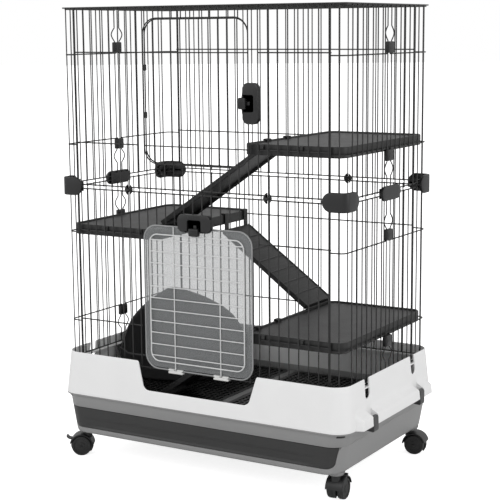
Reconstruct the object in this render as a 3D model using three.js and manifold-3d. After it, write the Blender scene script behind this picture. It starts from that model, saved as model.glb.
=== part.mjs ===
// A rolling four-level ferret cage: a wire tower in two sections on a moulded base with a drawer.
// Millimetres, +Z up. The origin is on the floor under the middle of the cage, X runs to the right
// along the front, and Y runs from the front to the back.
import * as THREE from "three";
import { mergeVertices } from "three/addons/utils/BufferGeometryUtils.js";
import Module from "manifold-3d";

const wasm = await Module();
wasm.setup();

// ---------- Driving sizes ----------
const CLEAR = 0.3; // between pieces that rest on each other
const WIRE_CLEAR = 0.4; // between a moulded clip and the wire it grips

const PITCH = 25.4; // between the upright wires
const WIRE = 2.4; // thickness of an upright wire
const RAIL = 2.8; // thickness of a cross wire
const WELD = 2; // thickness of the joint between an upright and an inner cross wire

const CAGE_WIDTH = 764; // between the uprights of the two sides
const CAGE_DEPTH = 446; // between the uprights of the front and the back
const BEND = 14; // bend radius of a corner panel's cross wires
const FLANGE = 37; // a corner panel takes up at least this much of the front
const RAIL_END = 0.2; // a cross wire runs this far past its last upright
const SIDE_SEAM = 20; // between the end wires of the two half sides
const RAIL_INSET = 102; // from the end cross wires to the inner ones
const CORNER_DROP = 6; // a corner panel's inner cross wires lie lower than the front's

const LOWER_BOTTOM = 252; // height of the lowest cross wire
const LOWER_HEIGHT = 426;
const SECTION_GAP = 10; // between the lower and the upper section
const UPPER_HEIGHT = 420;
const TOP_INNER_RAILS = 2; // cross wires along the top panel, inside its edge wires

const BULGE_OUT = 13; // the seam wires spread this far beside each sleeve
const BULGE_HEIGHT = 33;
const SLEEVE_SIZE = [12, 30, 26]; // out from the wires, along the side, up

const DOOR_PITCHES = 11; // a door opening spans this many pitches
const DOOR_CORNER = 34;
const UPPER_OPENING_LIFT = 62; // from the upper section's lowest cross wire to its opening
const UPPER_OPENING_HEIGHT = 332;
const LOWER_OPENING_LIFT = 11;
const DOOR_FRAME_WIRE = 3;
const DOOR_OVERLAP = 2.3; // a door's frame lies this far outside its opening's edge wire
const DOOR_STANDOFF = 0.9; // between the panel's uprights and a closed door
const KNUCKLE_SIZE = 8;
const KNUCKLE_HEIGHT = 14;
const KNUCKLE_BORE = 4.2;
const KNUCKLE_SPREAD = 55; // from the door's middle height to each knuckle

const LOWER_DOOR_WIDTH = 301;
const LOWER_DOOR_HEIGHT = 350;
const LOWER_DOOR_LIFT = 2; // its frame starts this far above the lowest cross wire
const LOWER_DOOR_WIRE = 3.6;
const LOWER_SINK = 0.5; // how deep its uprights are sunk into its frame
const LOWER_GRID_WIDTH = 260;
const LOWER_GRID_MARGIN = 20; // from the frame to the inner loop, at the top and the bottom
const LOWER_GRID_ROWS = 11;
const LOWER_GRID_ROW_PITCH = 28;
const SHEET = 1.2; // thickness of the clear panel

const HINGE_SPREAD = 2.5 * PITCH; // from the middle to each hinge clip
const HINGE_LUG = 17;
const HINGE_LUG_GAP = 7;
const HINGE_BORE = 4.8;
const HINGE_CAP = 1.1; // thickness of the clip over the door's frame

const LATCH_LENGTH = 92;
const LATCH_WIDTH = 42;
const LATCH_THICK = 15;
const LATCH_CORNER = 14;
const LATCH_OVER = 9; // the case reaches this far inside the door frame's wire
const LATCH_PLATE = 2; // of the case behind the slider
const LATCH_WINDOW = [29, 37]; // along the slide, across it
const LATCH_KNOB = [18, 26]; // along the slide, across it
const LATCH_PROUD = 4; // the knob stands this far out of the case
const LATCH_REACH = 8; // how far the knob passes the case when the latch is shut
const LATCH_BAR = [8, 3]; // across the slide, thickness
const LATCH_STEM = 4; // thickness of the stem along the slide
const LATCH_STEM_AT = 4; // from the door frame's wire to the stem
const LATCH_HOOK = 2.5; // thickness of the hook behind the wire
const LATCH_TRAVEL = 9.5; // how far the slider moves to let the door go
const LATCH_RUN = 0.5; // running gap round the slider
const LATCH_LOW = 22; // the upper latch lies this far below its door's middle

const CLIP_LEG = 62; // of a corner clip, from the corner along each panel
const CLIP_HEIGHT = 44;
const CLIP_OUTER = 7;
const CLIP_INNER = 4;
const CLIP_INNER_HEIGHT = 24;
const MID_CLIP_LENGTH = 98;
const MID_CLIP_HEIGHT = 34;

const SKIRT_BOTTOM = 166;
const SKIRT_HEIGHT = 105;
const SKIRT_OUT = [16.5, 26]; // its bottom edge lies this far outside the uprights, along X and Y
const SKIRT_LEAN = 9; // each wall leans in this far from the bottom to the top
const SKIRT_WALL = 3.5;
const SKIRT_CORNER = 44;
const LEDGE_IN = [12, 11]; // the ledge that carries the wire tower reaches this far inside the uprights
const SKIRT_LEDGE_THICK = 3;
const DIP_TOP_HALF = 168; // half width of the dip under the lower door
const DIP_BOTTOM_HALF = 152;
const DIP_FLOOR = 36; // height of the skirt under the dip
const DIP_CORNER = 20;
const SLOT_WIDTH = 24;
const SLOT_DEPTH = 46;
const LATCH_LINE = 130; // from the middle to each side slot and skirt latch, along Y
const GRIP_OUT = 18; // the side grips stand out this far
const GRIP_HEIGHT = 34;
const GRIP_LENGTH = 400;

const BASE_BOTTOM = 66;
const BASE_SET_IN = [7.5, 5]; // its rim lies this far inside the skirt's bottom edge, along X and Y
const BASE_TAPER = [19, 1]; // from its rim to its bottom, each side
const BASE_CORNER = 42;
const BASE_WALL = 3.5;
const BASE_LIP = 3; // thickness of the flange under the skirt
const BASE_NEST = 10; // how far the base reaches up inside the skirt
const FLOOR_LEVEL = 161; // top of the floor grates
const GRATE_THICK = 4.7;
const GRATE_SEAT = 4; // thickness of the ledge under the grates
const GRATE_SEAT_WIDTH = 14;
const DIVIDER_WIDTH = 20;
const GRATE_ROWS = 2;
const GRATE_COLUMNS = 7;
const GRATE_BORDER = 20;
const GRATE_BAR = 12;

const DRAWER_FLOOR = 82; // height of the drawer's underside
const DRAWER_FRONT_TOP = 133;
const DRAWER_FRONT_END = 17; // from the base rim's end to the drawer front's
const DRAWER_FRONT_NARROW = 8; // it narrows this much to its bottom, each side
const DRAWER_FRONT_CORNER = 24;
const DRAWER_FRONT_THICK = 6;
const DRAWER_WRAP = 30; // the drawer front goes this far round the base's corners
const DRAWER_GAP = 0.6; // between the drawer front and the base
const DRAWER_SLACK = 4; // between the shut drawer and the base's back wall
const DRAWER_HEIGHT = 46;
const DRAWER_WALL = 2.5;
const RUNNER_WIDTH = 14;
const RUNNER_IN = 42; // from the drawer's side to the middle of each runner

const CASTER_IN = [20, 39]; // from the base's bottom edge to the swivel axes, along X and Y
const CASTER_TRAIL = 14; // from the swivel axis to the axle
const WHEEL_RADIUS = 25;
const WHEEL_WIDTH = 17;
const WHEEL_FACETS = 16;
const CASTER_WEB = 8;
const HOOD_RADIUS = 30.5;
const HOOD_THICK = 3;
const AXLE_RADIUS = 3;
const BOSS_RADIUS = 17;
const BOSS_BOTTOM = 60;
const STEM_RADIUS = 5;
const STEM_LENGTH = 12;

const CLASP_WIDTH = 24;
const CLASP_THICK = 10;
const CLASP_DROP = 30; // from its pivot to its lower end
const CLASP_ABOVE = 7; // from its pivot to its upper end
const CLASP_PIVOT_LIFT = 15; // of the pivot above the skirt's bottom edge
const CLASP_PIN_RADIUS = 2.5;

const SHELF_WIDTH = 256;
const SHELF_RIM_HEIGHT = 25;
const SHELF_ABOVE_RAIL = 13;
const SHELF_RIM = 4;
const SHELF_RECESS = 5;
const SHELF_FLOOR = 3;
const SHELF_CORNER = 26;
const SHELF_EDGE_GAP = 7; // from the uprights' line to the shelf's edge
const SHELF_LUG = 16;

const RAMP_WIDTH = 130;
const RAMP_MIDDLES = { upper: -60, middle: 142, lower: -110 }; // along Y
const RAMP_DROPS = { upper: 13, middle: 38, lower: 4 }; // from the shelf's rim to the ramp's start
const RAMP_UPPER_REACH = 52; // the upper ramp ends this far inside the left shelf's edge
const RAMP_MIDDLE_REACH = 6;
const RAMP_LOWER_RUN = 278; // the lower ramp's length on the plan
const RAMP_END_RISE = 10; // of that face above the rim or floor it comes down to
const RAMP_PLATE = 3;
const RAMP_RIM = 11;
const RAMP_RIM_WIDTH = 4;
const RAMP_TREADS = 6;
const RAMP_TREAD = [3, 2.5]; // along the ramp, above its plate
const RAMP_HOOK = 18;
const RAMP_HOOK_THICK = 3;

const PAN_SIZE = 244;
const PAN_WALL = 3;
const PAN_CORNER = 12;
const PAN_STEPS = 10;
const PAN_POWER = 0.62; // 1 would make its front a quarter circle, and 0 a square corner
const PAN_GAP = 1.5; // between the pan and the skirt's ledge
const PAN_HIGH = 200; // height of its back corner
const PAN_LOW = 66; // height of its entry lip

// ---------- Sizes worked out from them ----------
const frontLine = -CAGE_DEPTH / 2; // Y of the front uprights and of the end cross wires
const sideLine = CAGE_WIDTH / 2; // X of the right uprights
const innerRail = (WIRE + RAIL) / 2 + CLEAR; // inner cross wires lie this far inside the uprights
const panelFace = RAIL / 2; // outer face of the end cross wires, from that line
const frontWires = 2 * Math.floor((sideLine - FLANGE) / PITCH + 0.5); // in a front or back panel
const endWire = ((frontWires - 1) / 2) * PITCH; // X of a front panel's last upright
const doorHalf = (DOOR_PITCHES / 2) * PITCH;
const lower = { bottom: LOWER_BOTTOM, height: LOWER_HEIGHT };
const upper = { bottom: LOWER_BOTTOM + LOWER_HEIGHT + SECTION_GAP, height: UPPER_HEIGHT };
const jointHeight = lower.bottom + lower.height + SECTION_GAP / 2;
const upperOpening = { bottom: upper.bottom + UPPER_OPENING_LIFT, height: UPPER_OPENING_HEIGHT };
const lowerDoorTop = lower.bottom + LOWER_DOOR_LIFT + LOWER_DOOR_HEIGHT;
const lowerOpening = {
  bottom: lower.bottom + LOWER_OPENING_LIFT,
  height: lowerDoorTop - LOWER_DOOR_WIRE / 2 - DOOR_OVERLAP - lower.bottom - LOWER_OPENING_LIFT,
};
const skirtTop = SKIRT_BOTTOM + SKIRT_HEIGHT;
const skirtWidth = CAGE_WIDTH + 2 * SKIRT_OUT[0]; // at its bottom edge
const skirtDepth = CAGE_DEPTH + 2 * SKIRT_OUT[1];
const ledgeWidth = CAGE_WIDTH - 2 * LEDGE_IN[0]; // clear width inside the ledge
const ledgeDepth = CAGE_DEPTH - 2 * LEDGE_IN[1];
const rimWidth = skirtWidth - 2 * BASE_SET_IN[0]; // of the base where it meets the skirt
const rimDepth = skirtDepth - 2 * BASE_SET_IN[1];
const baseWidth = rimWidth - 2 * BASE_TAPER[0]; // at the base's bottom
const baseDepth = rimDepth - 2 * BASE_TAPER[1];
const drawerFrontHalf = rimWidth / 2 - DRAWER_FRONT_END; // at its top
const drawerWidth = 2 * (drawerFrontHalf - DRAWER_FRONT_NARROW - DRAWER_FRONT_CORNER);
const casterAt = [baseWidth / 2 - CASTER_IN[0], baseDepth / 2 - CASTER_IN[1]];
const doorBack = frontLine - panelFace - DOOR_STANDOFF; // Y of a closed door's back face

// ---------- Making and joining solids ----------
function solid(geometry) {
  const bare = geometry.index ? geometry.toNonIndexed() : geometry.clone();
  bare.deleteAttribute("normal");
  bare.deleteAttribute("uv");
  const merged = mergeVertices(bare, 1e-4);
  return new wasm.Manifold(
    new wasm.Mesh({
      numProp: 3,
      vertProperties: merged.attributes.position.array,
      triVerts: new Uint32Array(merged.index.array),
    }),
  );
}

const join = (solids) => solids.reduce((whole, piece) => whole.add(piece));
const cut = (body, tools) => tools.reduce((rest, tool) => rest.subtract(tool), body);

function geometryOf(made) {
  const mesh = made.getMesh();
  const points = new Float32Array(mesh.numVert * 3);
  for (let i = 0; i < mesh.numVert; i += 1) {
    const start = i * mesh.numProp;
    points.set(mesh.vertProperties.subarray(start, start + 3), i * 3);
  }
  const geometry = new THREE.BufferGeometry();
  geometry.setAttribute("position", new THREE.BufferAttribute(points, 3));
  geometry.setIndex(new THREE.BufferAttribute(mesh.triVerts, 1));
  geometry.computeVertexNormals();
  return geometry;
}

// A block between two opposite corners, given in any order.
function block([x1, y1, z1], [x2, y2, z2]) {
  const size = [Math.abs(x2 - x1), Math.abs(y2 - y1), Math.abs(z2 - z1)];
  const geometry = new THREE.BoxGeometry(...size);
  geometry.translate((x1 + x2) / 2, (y1 + y2) / 2, (z1 + z2) / 2);
  return solid(geometry);
}

// A round bar along "x", "y" or "z", centred on a point.
function bar(axis, [x, y, z], radius, length, facets = 16) {
  const geometry = new THREE.CylinderGeometry(radius, radius, length, facets);
  if (axis === "x") geometry.rotateZ(Math.PI / 2);
  if (axis === "z") geometry.rotateX(Math.PI / 2);
  geometry.translate(x, y, z);
  return solid(geometry);
}

function shapeOf(points) {
  return new THREE.Shape(points.map(([a, b]) => new THREE.Vector2(a, b)));
}

// A flat outline pushed up from height z, along Y from y, or along X from x.
function pushUp(shape, z, height, curveSegments = 2) {
  const geometry = new THREE.ExtrudeGeometry(shape, {
    depth: height,
    bevelEnabled: false,
    curveSegments,
  });
  geometry.translate(0, 0, z);
  return solid(geometry);
}

function pushAlongY(shape, y, depth, curveSegments = 2) {
  const geometry = new THREE.ExtrudeGeometry(shape, { depth, bevelEnabled: false, curveSegments });
  geometry.rotateX(Math.PI / 2);
  geometry.translate(0, y + depth, 0);
  return solid(geometry);
}

function pushAlongX(shape, x, depth, curveSegments = 2) {
  const geometry = new THREE.ExtrudeGeometry(shape, { depth, bevelEnabled: false, curveSegments });
  geometry.rotateX(Math.PI / 2);
  geometry.rotateZ(Math.PI / 2);
  geometry.translate(x, 0, 0);
  return solid(geometry);
}

// The outline of a rectangle with round corners, between two opposite corners.
function roundedOutline(x1, y1, x2, y2, radius) {
  const shape = new THREE.Shape();
  shape.moveTo(x1 + radius, y1);
  shape.lineTo(x2 - radius, y1);
  shape.absarc(x2 - radius, y1 + radius, radius, -Math.PI / 2, 0);
  shape.lineTo(x2, y2 - radius);
  shape.absarc(x2 - radius, y2 - radius, radius, 0, Math.PI / 2);
  shape.lineTo(x1 + radius, y2);
  shape.absarc(x1 + radius, y2 - radius, radius, Math.PI / 2, Math.PI);
  shape.lineTo(x1, y1 + radius);
  shape.absarc(x1 + radius, y1 + radius, radius, Math.PI, 1.5 * Math.PI);
  return shape;
}

// A rounded loop of wire: the outline with the same outline inside it cut away.
function loopOutline(x1, y1, x2, y2, radius, wire) {
  const half = wire / 2;
  const shape = roundedOutline(x1 - half, y1 - half, x2 + half, y2 + half, radius + half);
  shape.holes.push(roundedOutline(x1 + half, y1 + half, x2 - half, y2 - half, radius - half));
  return shape;
}

// A solid of stacked rectangles with round corners, each { z, width, depth, radius }.
const CORNER_STEPS = 4;
function stack(levels) {
  const rings = levels.map(({ z, width, depth, radius }) => {
    const ring = [];
    for (let corner = 0; corner < 4; corner += 1) {
      const signX = corner === 0 || corner === 3 ? 1 : -1;
      const signY = corner < 2 ? 1 : -1;
      for (let step = 0; step <= CORNER_STEPS; step += 1) {
        const turn = ((corner + step / CORNER_STEPS) * Math.PI) / 2;
        const x = signX * (width / 2 - radius) + radius * Math.cos(turn);
        const y = signY * (depth / 2 - radius) + radius * Math.sin(turn);
        ring.push([x, y, z]);
      }
    }
    return ring;
  });
  const count = rings[0].length;
  const points = rings.flat();
  const faces = [];
  for (let level = 0; level + 1 < rings.length; level += 1) {
    for (let i = 0; i < count; i += 1) {
      const a = level * count + i;
      const b = level * count + ((i + 1) % count);
      faces.push(a, b, b + count, a, b + count, a + count);
    }
  }
  const last = (rings.length - 1) * count;
  for (let i = 1; i + 1 < count; i += 1) {
    faces.push(0, i + 1, i, last, last + i, last + i + 1);
  }
  const geometry = new THREE.BufferGeometry();
  geometry.setAttribute("position", new THREE.Float32BufferAttribute(points.flat(), 3));
  geometry.setIndex(faces);
  return solid(geometry);
}

// ---------- Finishes ----------
function finish(color, roughness, metalness = 0) {
  return new THREE.MeshStandardMaterial({ color, roughness, metalness });
}
const BLACK_WIRE = () => finish(0x161616, 0.45, 0.2);
const LIGHT_WIRE = () => finish(0xb9bbbd, 0.4, 0.3);
const BLACK_PLASTIC = () => finish(0x1b1b1c, 0.5);
const SHELF_PLASTIC = () => finish(0x242425, 0.55);
const WHITE_PLASTIC = () => finish(0xe3e3e2, 0.4);
const GREY_PLASTIC = () => finish(0x858585, 0.45);
const DRAWER_PLASTIC = () => finish(0x383838, 0.45);
const CLASP_PLASTIC = () => finish(0x555556, 0.45);
const PAN_PLASTIC = () => finish(0x4a4a4b, 0.45);
const CLIP_PLASTIC = () => finish(0xd8d8d6, 0.45);
function clearSheet() {
  const sheet = finish(0xc9cccd, 0.15);
  sheet.transparent = true;
  sheet.opacity = 0.35;
  return sheet;
}

const cage = new THREE.Group();
function add(name, made, material) {
  const mesh = new THREE.Mesh(geometryOf(made), material);
  mesh.name = name;
  cage.add(mesh);
  return mesh;
}

// ---------- Wire panels ----------
// The uprights end in the lowest and the highest cross wire. The two inner cross wires lie just
// inside the uprights and are joined to some of them.
const railHeights = ({ bottom, height }) => [
  bottom,
  bottom + RAIL_INSET,
  bottom + height - RAIL_INSET,
  bottom + height,
];

// A square wire along "x", "y" or "z" from one value to another; at gives the other two places.
function wireAlong(axis, from, to, at, thick) {
  const half = thick / 2;
  const [a, b] = at;
  if (axis === "x") return block([from, a - half, b - half], [to, a + half, b + half]);
  if (axis === "y") return block([a - half, from, b - half], [a + half, to, b + half]);
  return block([a - half, b - half, from], [a + half, b + half, to]);
}

// A flat panel at the front, with a framed opening where one is given.
const panelEnd = endWire + WIRE / 2 + RAIL_END;
function frontPanel(section, opening) {
  const [bottom, , , top] = railHeights(section);
  const wires = [];
  const beside = doorHalf + PITCH; // the first upright beside the opening
  const welded = [-endWire, -beside, beside, endWire];
  for (const z of railHeights(section)) {
    const inner = z !== bottom && z !== top;
    const y = inner ? frontLine + innerRail : frontLine;
    const split = opening && z > opening.bottom && z < opening.bottom + opening.height;
    const gap = beside - WIRE;
    const stretches = split ? [[-panelEnd, -gap], [gap, panelEnd]] : [[-panelEnd, panelEnd]];
    for (const [from, to] of stretches) wires.push(wireAlong("x", from, to, [y, z], RAIL));
    if (inner) for (const x of welded) wires.push(wireAlong("y", frontLine, y, [x, z], WELD));
  }
  for (let i = 0; i < frontWires; i += 1) {
    const x = i * PITCH - endWire;
    if (opening && Math.abs(x) < doorHalf - PITCH / 2) {
      wires.push(wireAlong("z", bottom, opening.bottom, [x, frontLine], WIRE));
      wires.push(wireAlong("z", opening.bottom + opening.height, top, [x, frontLine], WIRE));
    } else {
      wires.push(wireAlong("z", bottom, top, [x, frontLine], WIRE));
    }
  }
  if (opening) {
    const loopTop = opening.bottom + opening.height;
    const loop = loopOutline(-doorHalf, opening.bottom, doorHalf, loopTop, DOOR_CORNER, RAIL);
    wires.push(pushAlongY(loop, frontLine - RAIL / 2, RAIL));
  }
  return join(wires);
}

// The sleeves' middle heights in a section, each with the way (up 1, down -1) to its bulge.
function sleeveSeats(section) {
  const [, low, high] = railHeights(section);
  const away = RAIL / 2 + CLEAR + SLEEVE_SIZE[2] / 2;
  return [
    { z: low - CORNER_DROP - away, way: -1 },
    { z: high - CORNER_DROP + away, way: 1 },
  ];
}

// The seam wire beside the middle of a side, which bulges next to each sleeve.
function seamWire(section, signX, signY) {
  const bends = sleeveSeats(section).map(({ z, way }) => {
    const near = z + way * (SLEEVE_SIZE[2] / 2 + CLEAR);
    return [near, near + way * BULGE_HEIGHT].sort((a, b) => a - b);
  });
  const line = [[0, section.bottom]];
  for (const [from, to] of bends) {
    const middle = (from + to) / 2;
    line.push([0, from], [BULGE_OUT, middle - WIRE], [BULGE_OUT, middle + WIRE], [0, to]);
  }
  line.push([0, section.bottom + section.height]);
  const near = line.map(([out, z]) => [signY * (SIDE_SEAM / 2 + out - WIRE / 2), z]);
  const far = line.map(([out, z]) => [signY * (SIDE_SEAM / 2 + out + WIRE / 2), z]);
  return pushAlongX(shapeOf([...near, ...far.reverse()]), signX * sideLine - WIRE / 2, WIRE);
}

// The plan of a cross wire bent round a corner, from the front flange to the side seam. The whole
// wire lies this far inside the uprights.
const flangeStart = panelEnd + CLEAR;
const flangeWire = flangeStart + RAIL_END + WIRE / 2;
function bentRail(signX, signY, inside) {
  const middleX = sideLine - BEND;
  const middleY = CAGE_DEPTH / 2 - BEND;
  const edge = (radius) => {
    const points = [[flangeStart, middleY + radius]];
    for (let step = 0; step <= 3; step += 1) {
      const turn = Math.PI / 2 - (step * Math.PI) / 6;
      points.push([middleX + radius * Math.cos(turn), middleY + radius * Math.sin(turn)]);
    }
    points.push([middleX + radius, SIDE_SEAM / 2 - WIRE / 2 - RAIL_END]);
    return points;
  };
  const radius = BEND - inside;
  const outline = [...edge(radius + RAIL / 2), ...edge(radius - RAIL / 2).reverse()];
  return shapeOf(outline.map(([x, y]) => [signX * x, signY * y]));
}

// Half of a side with its flange round the corner.
function cornerPanel(section, signX, signY) {
  const [bottom, inner1, inner2, top] = railHeights(section);
  const plan = bentRail(signX, signY, 0);
  const innerPlan = bentRail(signX, signY, innerRail);
  const wires = [bottom, top].map((z) => pushUp(plan, z - RAIL / 2, RAIL));
  const x = signX * sideLine;
  const y = (signY * CAGE_DEPTH) / 2;
  for (const z of [inner1 - CORNER_DROP, inner2 - CORNER_DROP]) {
    wires.push(pushUp(innerPlan, z - RAIL / 2, RAIL));
    const seam = (signY * SIDE_SEAM) / 2;
    const flange = signX * flangeWire;
    wires.push(wireAlong("x", x - signX * innerRail, x, [seam, z], WELD));
    wires.push(wireAlong("y", y - signY * innerRail, y, [flange, z], WELD));
  }
  for (const across of [flangeWire, endWire + PITCH]) {
    wires.push(wireAlong("z", bottom, top, [signX * across, y], WIRE));
  }
  wires.push(seamWire(section, signX, signY));
  for (let out = SIDE_SEAM / 2 + PITCH; out < CAGE_DEPTH / 2 - BEND - WIRE; out += PITCH) {
    wires.push(wireAlong("z", bottom, top, [x, signY * out], WIRE));
  }
  return join(wires);
}

const CORNERS = [
  { place: "front_left", signX: -1, signY: -1 },
  { place: "front_right", signX: 1, signY: -1 },
  { place: "back_left", signX: -1, signY: 1 },
  { place: "back_right", signX: 1, signY: 1 },
];
for (const [level, section, opening] of [
  ["lower", lower, lowerOpening],
  ["upper", upper, upperOpening],
]) {
  add(level + "_front_panel", frontPanel(section, opening), BLACK_WIRE());
  add(level + "_back_panel", frontPanel(section), BLACK_WIRE()).rotation.z = Math.PI;
  for (const { place, signX, signY } of CORNERS) {
    add(level + "_corner_" + place, cornerPanel(section, signX, signY), BLACK_WIRE());
  }
}

// The top panel lies on the upper section's highest cross wires.
const topHeight = upper.bottom + upper.height + RAIL + CLEAR;
function topPanel() {
  const halfY = CAGE_DEPTH / 2;
  const z = topHeight;
  const end = sideLine + WIRE / 2 + RAIL_END;
  const wires = [-1, 1].flatMap((side) => [
    wireAlong("x", -end, end, [side * halfY, z], RAIL),
    wireAlong("y", -halfY, halfY, [side * sideLine, z], WIRE),
  ]);
  const last = PITCH * Math.floor(sideLine / PITCH - 0.5);
  for (let x = -last; x <= last; x += PITCH) {
    wires.push(wireAlong("y", -halfY, halfY, [x, z], WIRE));
  }
  for (let i = 1; i <= TOP_INNER_RAILS; i += 1) {
    const y = (i / (TOP_INNER_RAILS + 1) - 0.5) * CAGE_DEPTH;
    wires.push(wireAlong("x", -last - WIRE, last + WIRE, [y, z - innerRail], RAIL));
    for (const x of [-last, -last / 2, last / 2, last]) {
      const nearest = Math.round(x / PITCH) * PITCH;
      wires.push(wireAlong("z", z - innerRail, z, [nearest, y], WELD));
    }
  }
  return join(wires);
}
add("top_panel", topPanel(), BLACK_WIRE());

// ---------- Sleeves and clips that join the panels ----------
function seamSleeve(signX, z) {
  const [thick, wide, tall] = SLEEVE_SIZE;
  const x = signX * sideLine;
  const bore = WIRE / 2 + WIRE_CLEAR;
  const body = block([x - thick / 2, -wide / 2, z - tall / 2], [x + thick / 2, wide / 2, z + tall / 2]);
  const bores = [-1, 1].map((signY) => {
    const y = (signY * SIDE_SEAM) / 2;
    return block([x - bore, y - bore, z - tall], [x + bore, y + bore, z + tall]);
  });
  return cut(body, bores);
}
for (const [side, signX] of [["left", -1], ["right", 1]]) {
  for (const [level, section] of [["lower", lower], ["upper", upper]]) {
    sleeveSeats(section).forEach(({ z, way }) => {
      const end = way > 0 ? "top" : "bottom";
      add(["seam_sleeve", side, level, end].join("_"), seamSleeve(signX, z), BLACK_PLASTIC());
    });
  }
}

const clipFace = panelFace + WIRE_CLEAR; // inner face of a clip's outer plate, from the wires' line
const clipWeb = SECTION_GAP - RAIL - 2 * WIRE_CLEAR; // fits between the two sections' cross wires
const clipBack = RAIL / 2 + WIRE_CLEAR; // outer face of a clip's inner plate

// A plate's outline with one round end: along from the straight end to the round one.
function endRounded(from, to, middle, height) {
  const radius = height / 2;
  const way = Math.sign(to - from);
  const shape = new THREE.Shape();
  shape.moveTo(from, middle - radius);
  shape.lineTo(to - way * radius, middle - radius);
  if (way > 0) shape.absarc(to - radius, middle, radius, -Math.PI / 2, Math.PI / 2);
  else shape.absarc(to + radius, middle, radius, -Math.PI / 2, Math.PI / 2, true);
  shape.lineTo(from, middle + radius);
  return shape;
}

// Grips the cross wires of both sections round one corner.
function cornerClip(signX, signY) {
  const outX = sideLine + clipFace;
  const outY = CAGE_DEPTH / 2 + clipFace;
  const farX = outX + CLIP_OUTER;
  const farY = outY + CLIP_OUTER;
  const legX = farX - CLIP_LEG;
  const legY = farY - CLIP_LEG;
  const z = jointHeight;
  const frontPlate = endRounded(signX * farX, signX * legX, z, CLIP_HEIGHT);
  const sidePlate = endRounded(signY * farY, signY * legY, z, CLIP_HEIGHT);
  const backX = sideLine - clipBack;
  const backY = CAGE_DEPTH / 2 - clipBack;
  const webHalf = clipWeb / 2;
  const innerHalf = CLIP_INNER_HEIGHT / 2;
  const at = (x, y, height) => [signX * x, signY * y, height];
  const round = BEND + RAIL; // the inner plates keep clear of the cross wires' bend
  return join([
    pushAlongY(frontPlate, signY > 0 ? outY : -farY, CLIP_OUTER),
    pushAlongX(sidePlate, signX > 0 ? outX : -farX, CLIP_OUTER),
    block(at(legX, backY - CLIP_INNER, z - webHalf), at(farX, farY, z + webHalf)),
    block(at(backX - CLIP_INNER, legY, z - webHalf), at(farX, farY, z + webHalf)),
    block(at(legX, backY - CLIP_INNER, z - innerHalf), at(backX - round, backY, z + innerHalf)),
    block(at(backX - CLIP_INNER, legY, z - innerHalf), at(backX, backY - round, z + innerHalf)),
  ]);
}
for (const { place, signX, signY } of CORNERS) {
  add("corner_clip_" + place, cornerClip(signX, signY), BLACK_PLASTIC());
}

// Grips the cross wires of both sections at the middle of a side.
function midClip(signX) {
  const half = MID_CLIP_LENGTH / 2;
  const z = jointHeight;
  const radius = MID_CLIP_HEIGHT / 2;
  const outline = roundedOutline(-half, z - radius, half, z + radius, radius - 0.01);
  const out = sideLine + clipFace;
  const far = out + CLIP_OUTER;
  const back = sideLine - clipBack;
  const webEnd = half - radius / 2;
  const innerHalf = CLIP_INNER_HEIGHT / 2;
  return join([
    pushAlongX(outline, signX > 0 ? out : -far, CLIP_OUTER),
    block([signX * (back - CLIP_INNER), -webEnd, z - clipWeb / 2], [signX * far, webEnd, z + clipWeb / 2]),
    block([signX * (back - CLIP_INNER), -webEnd, z - innerHalf], [signX * back, webEnd, z + innerHalf]),
  ]);
}
add("side_clip_left", midClip(-1), BLACK_PLASTIC());
add("side_clip_right", midClip(1), BLACK_PLASTIC());

// ---------- Upper door ----------
const hingeLine = { x: -doorHalf, y: frontLine }; // the opening's side wire that it turns on
function upperDoor() {
  const half = doorHalf + DOOR_OVERLAP;
  const bottom = upperOpening.bottom - DOOR_OVERLAP;
  const top = upperOpening.bottom + upperOpening.height + DOOR_OVERLAP;
  const radius = DOOR_CORNER + DOOR_OVERLAP;
  const frame = loopOutline(-half, bottom, half, top, radius, DOOR_FRAME_WIRE);
  const pieces = [pushAlongY(frame, doorBack - DOOR_FRAME_WIRE, DOOR_FRAME_WIRE)];
  const wireY = doorBack - DOOR_FRAME_WIRE / 2;
  for (let x = -doorHalf + PITCH; x < doorHalf - PITCH / 2; x += PITCH) {
    pieces.push(wireAlong("z", bottom, top, [x, wireY], WIRE));
  }
  const [, low, high] = railHeights(upper);
  for (const z of [low, high]) {
    pieces.push(wireAlong("x", -half, half, [wireY - innerRail, z], WIRE));
    for (const x of [-half, half]) {
      pieces.push(wireAlong("y", wireY - innerRail, wireY, [x, z], WELD));
    }
  }
  const middle = (bottom + top) / 2;
  const { x, y } = hingeLine;
  const bores = [];
  for (const z of [middle - KNUCKLE_SPREAD, middle + KNUCKLE_SPREAD]) {
    const size = KNUCKLE_SIZE / 2;
    const tall = KNUCKLE_HEIGHT / 2;
    const bore = KNUCKLE_BORE / 2;
    pieces.push(block([x - size, y - size, z - tall], [x + size, y + size, z + tall]));
    const arm = [x - size, doorBack - DOOR_FRAME_WIRE / 2, z - tall];
    pieces.push(block(arm, [x + size, y - bore, z + tall]));
    bores.push(block([x - bore, y - bore, z - 2 * tall], [x + bore, y + bore, z + 2 * tall]));
  }
  return cut(join(pieces), bores);
}
add("upper_door", upperDoor(), BLACK_WIRE());

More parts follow.
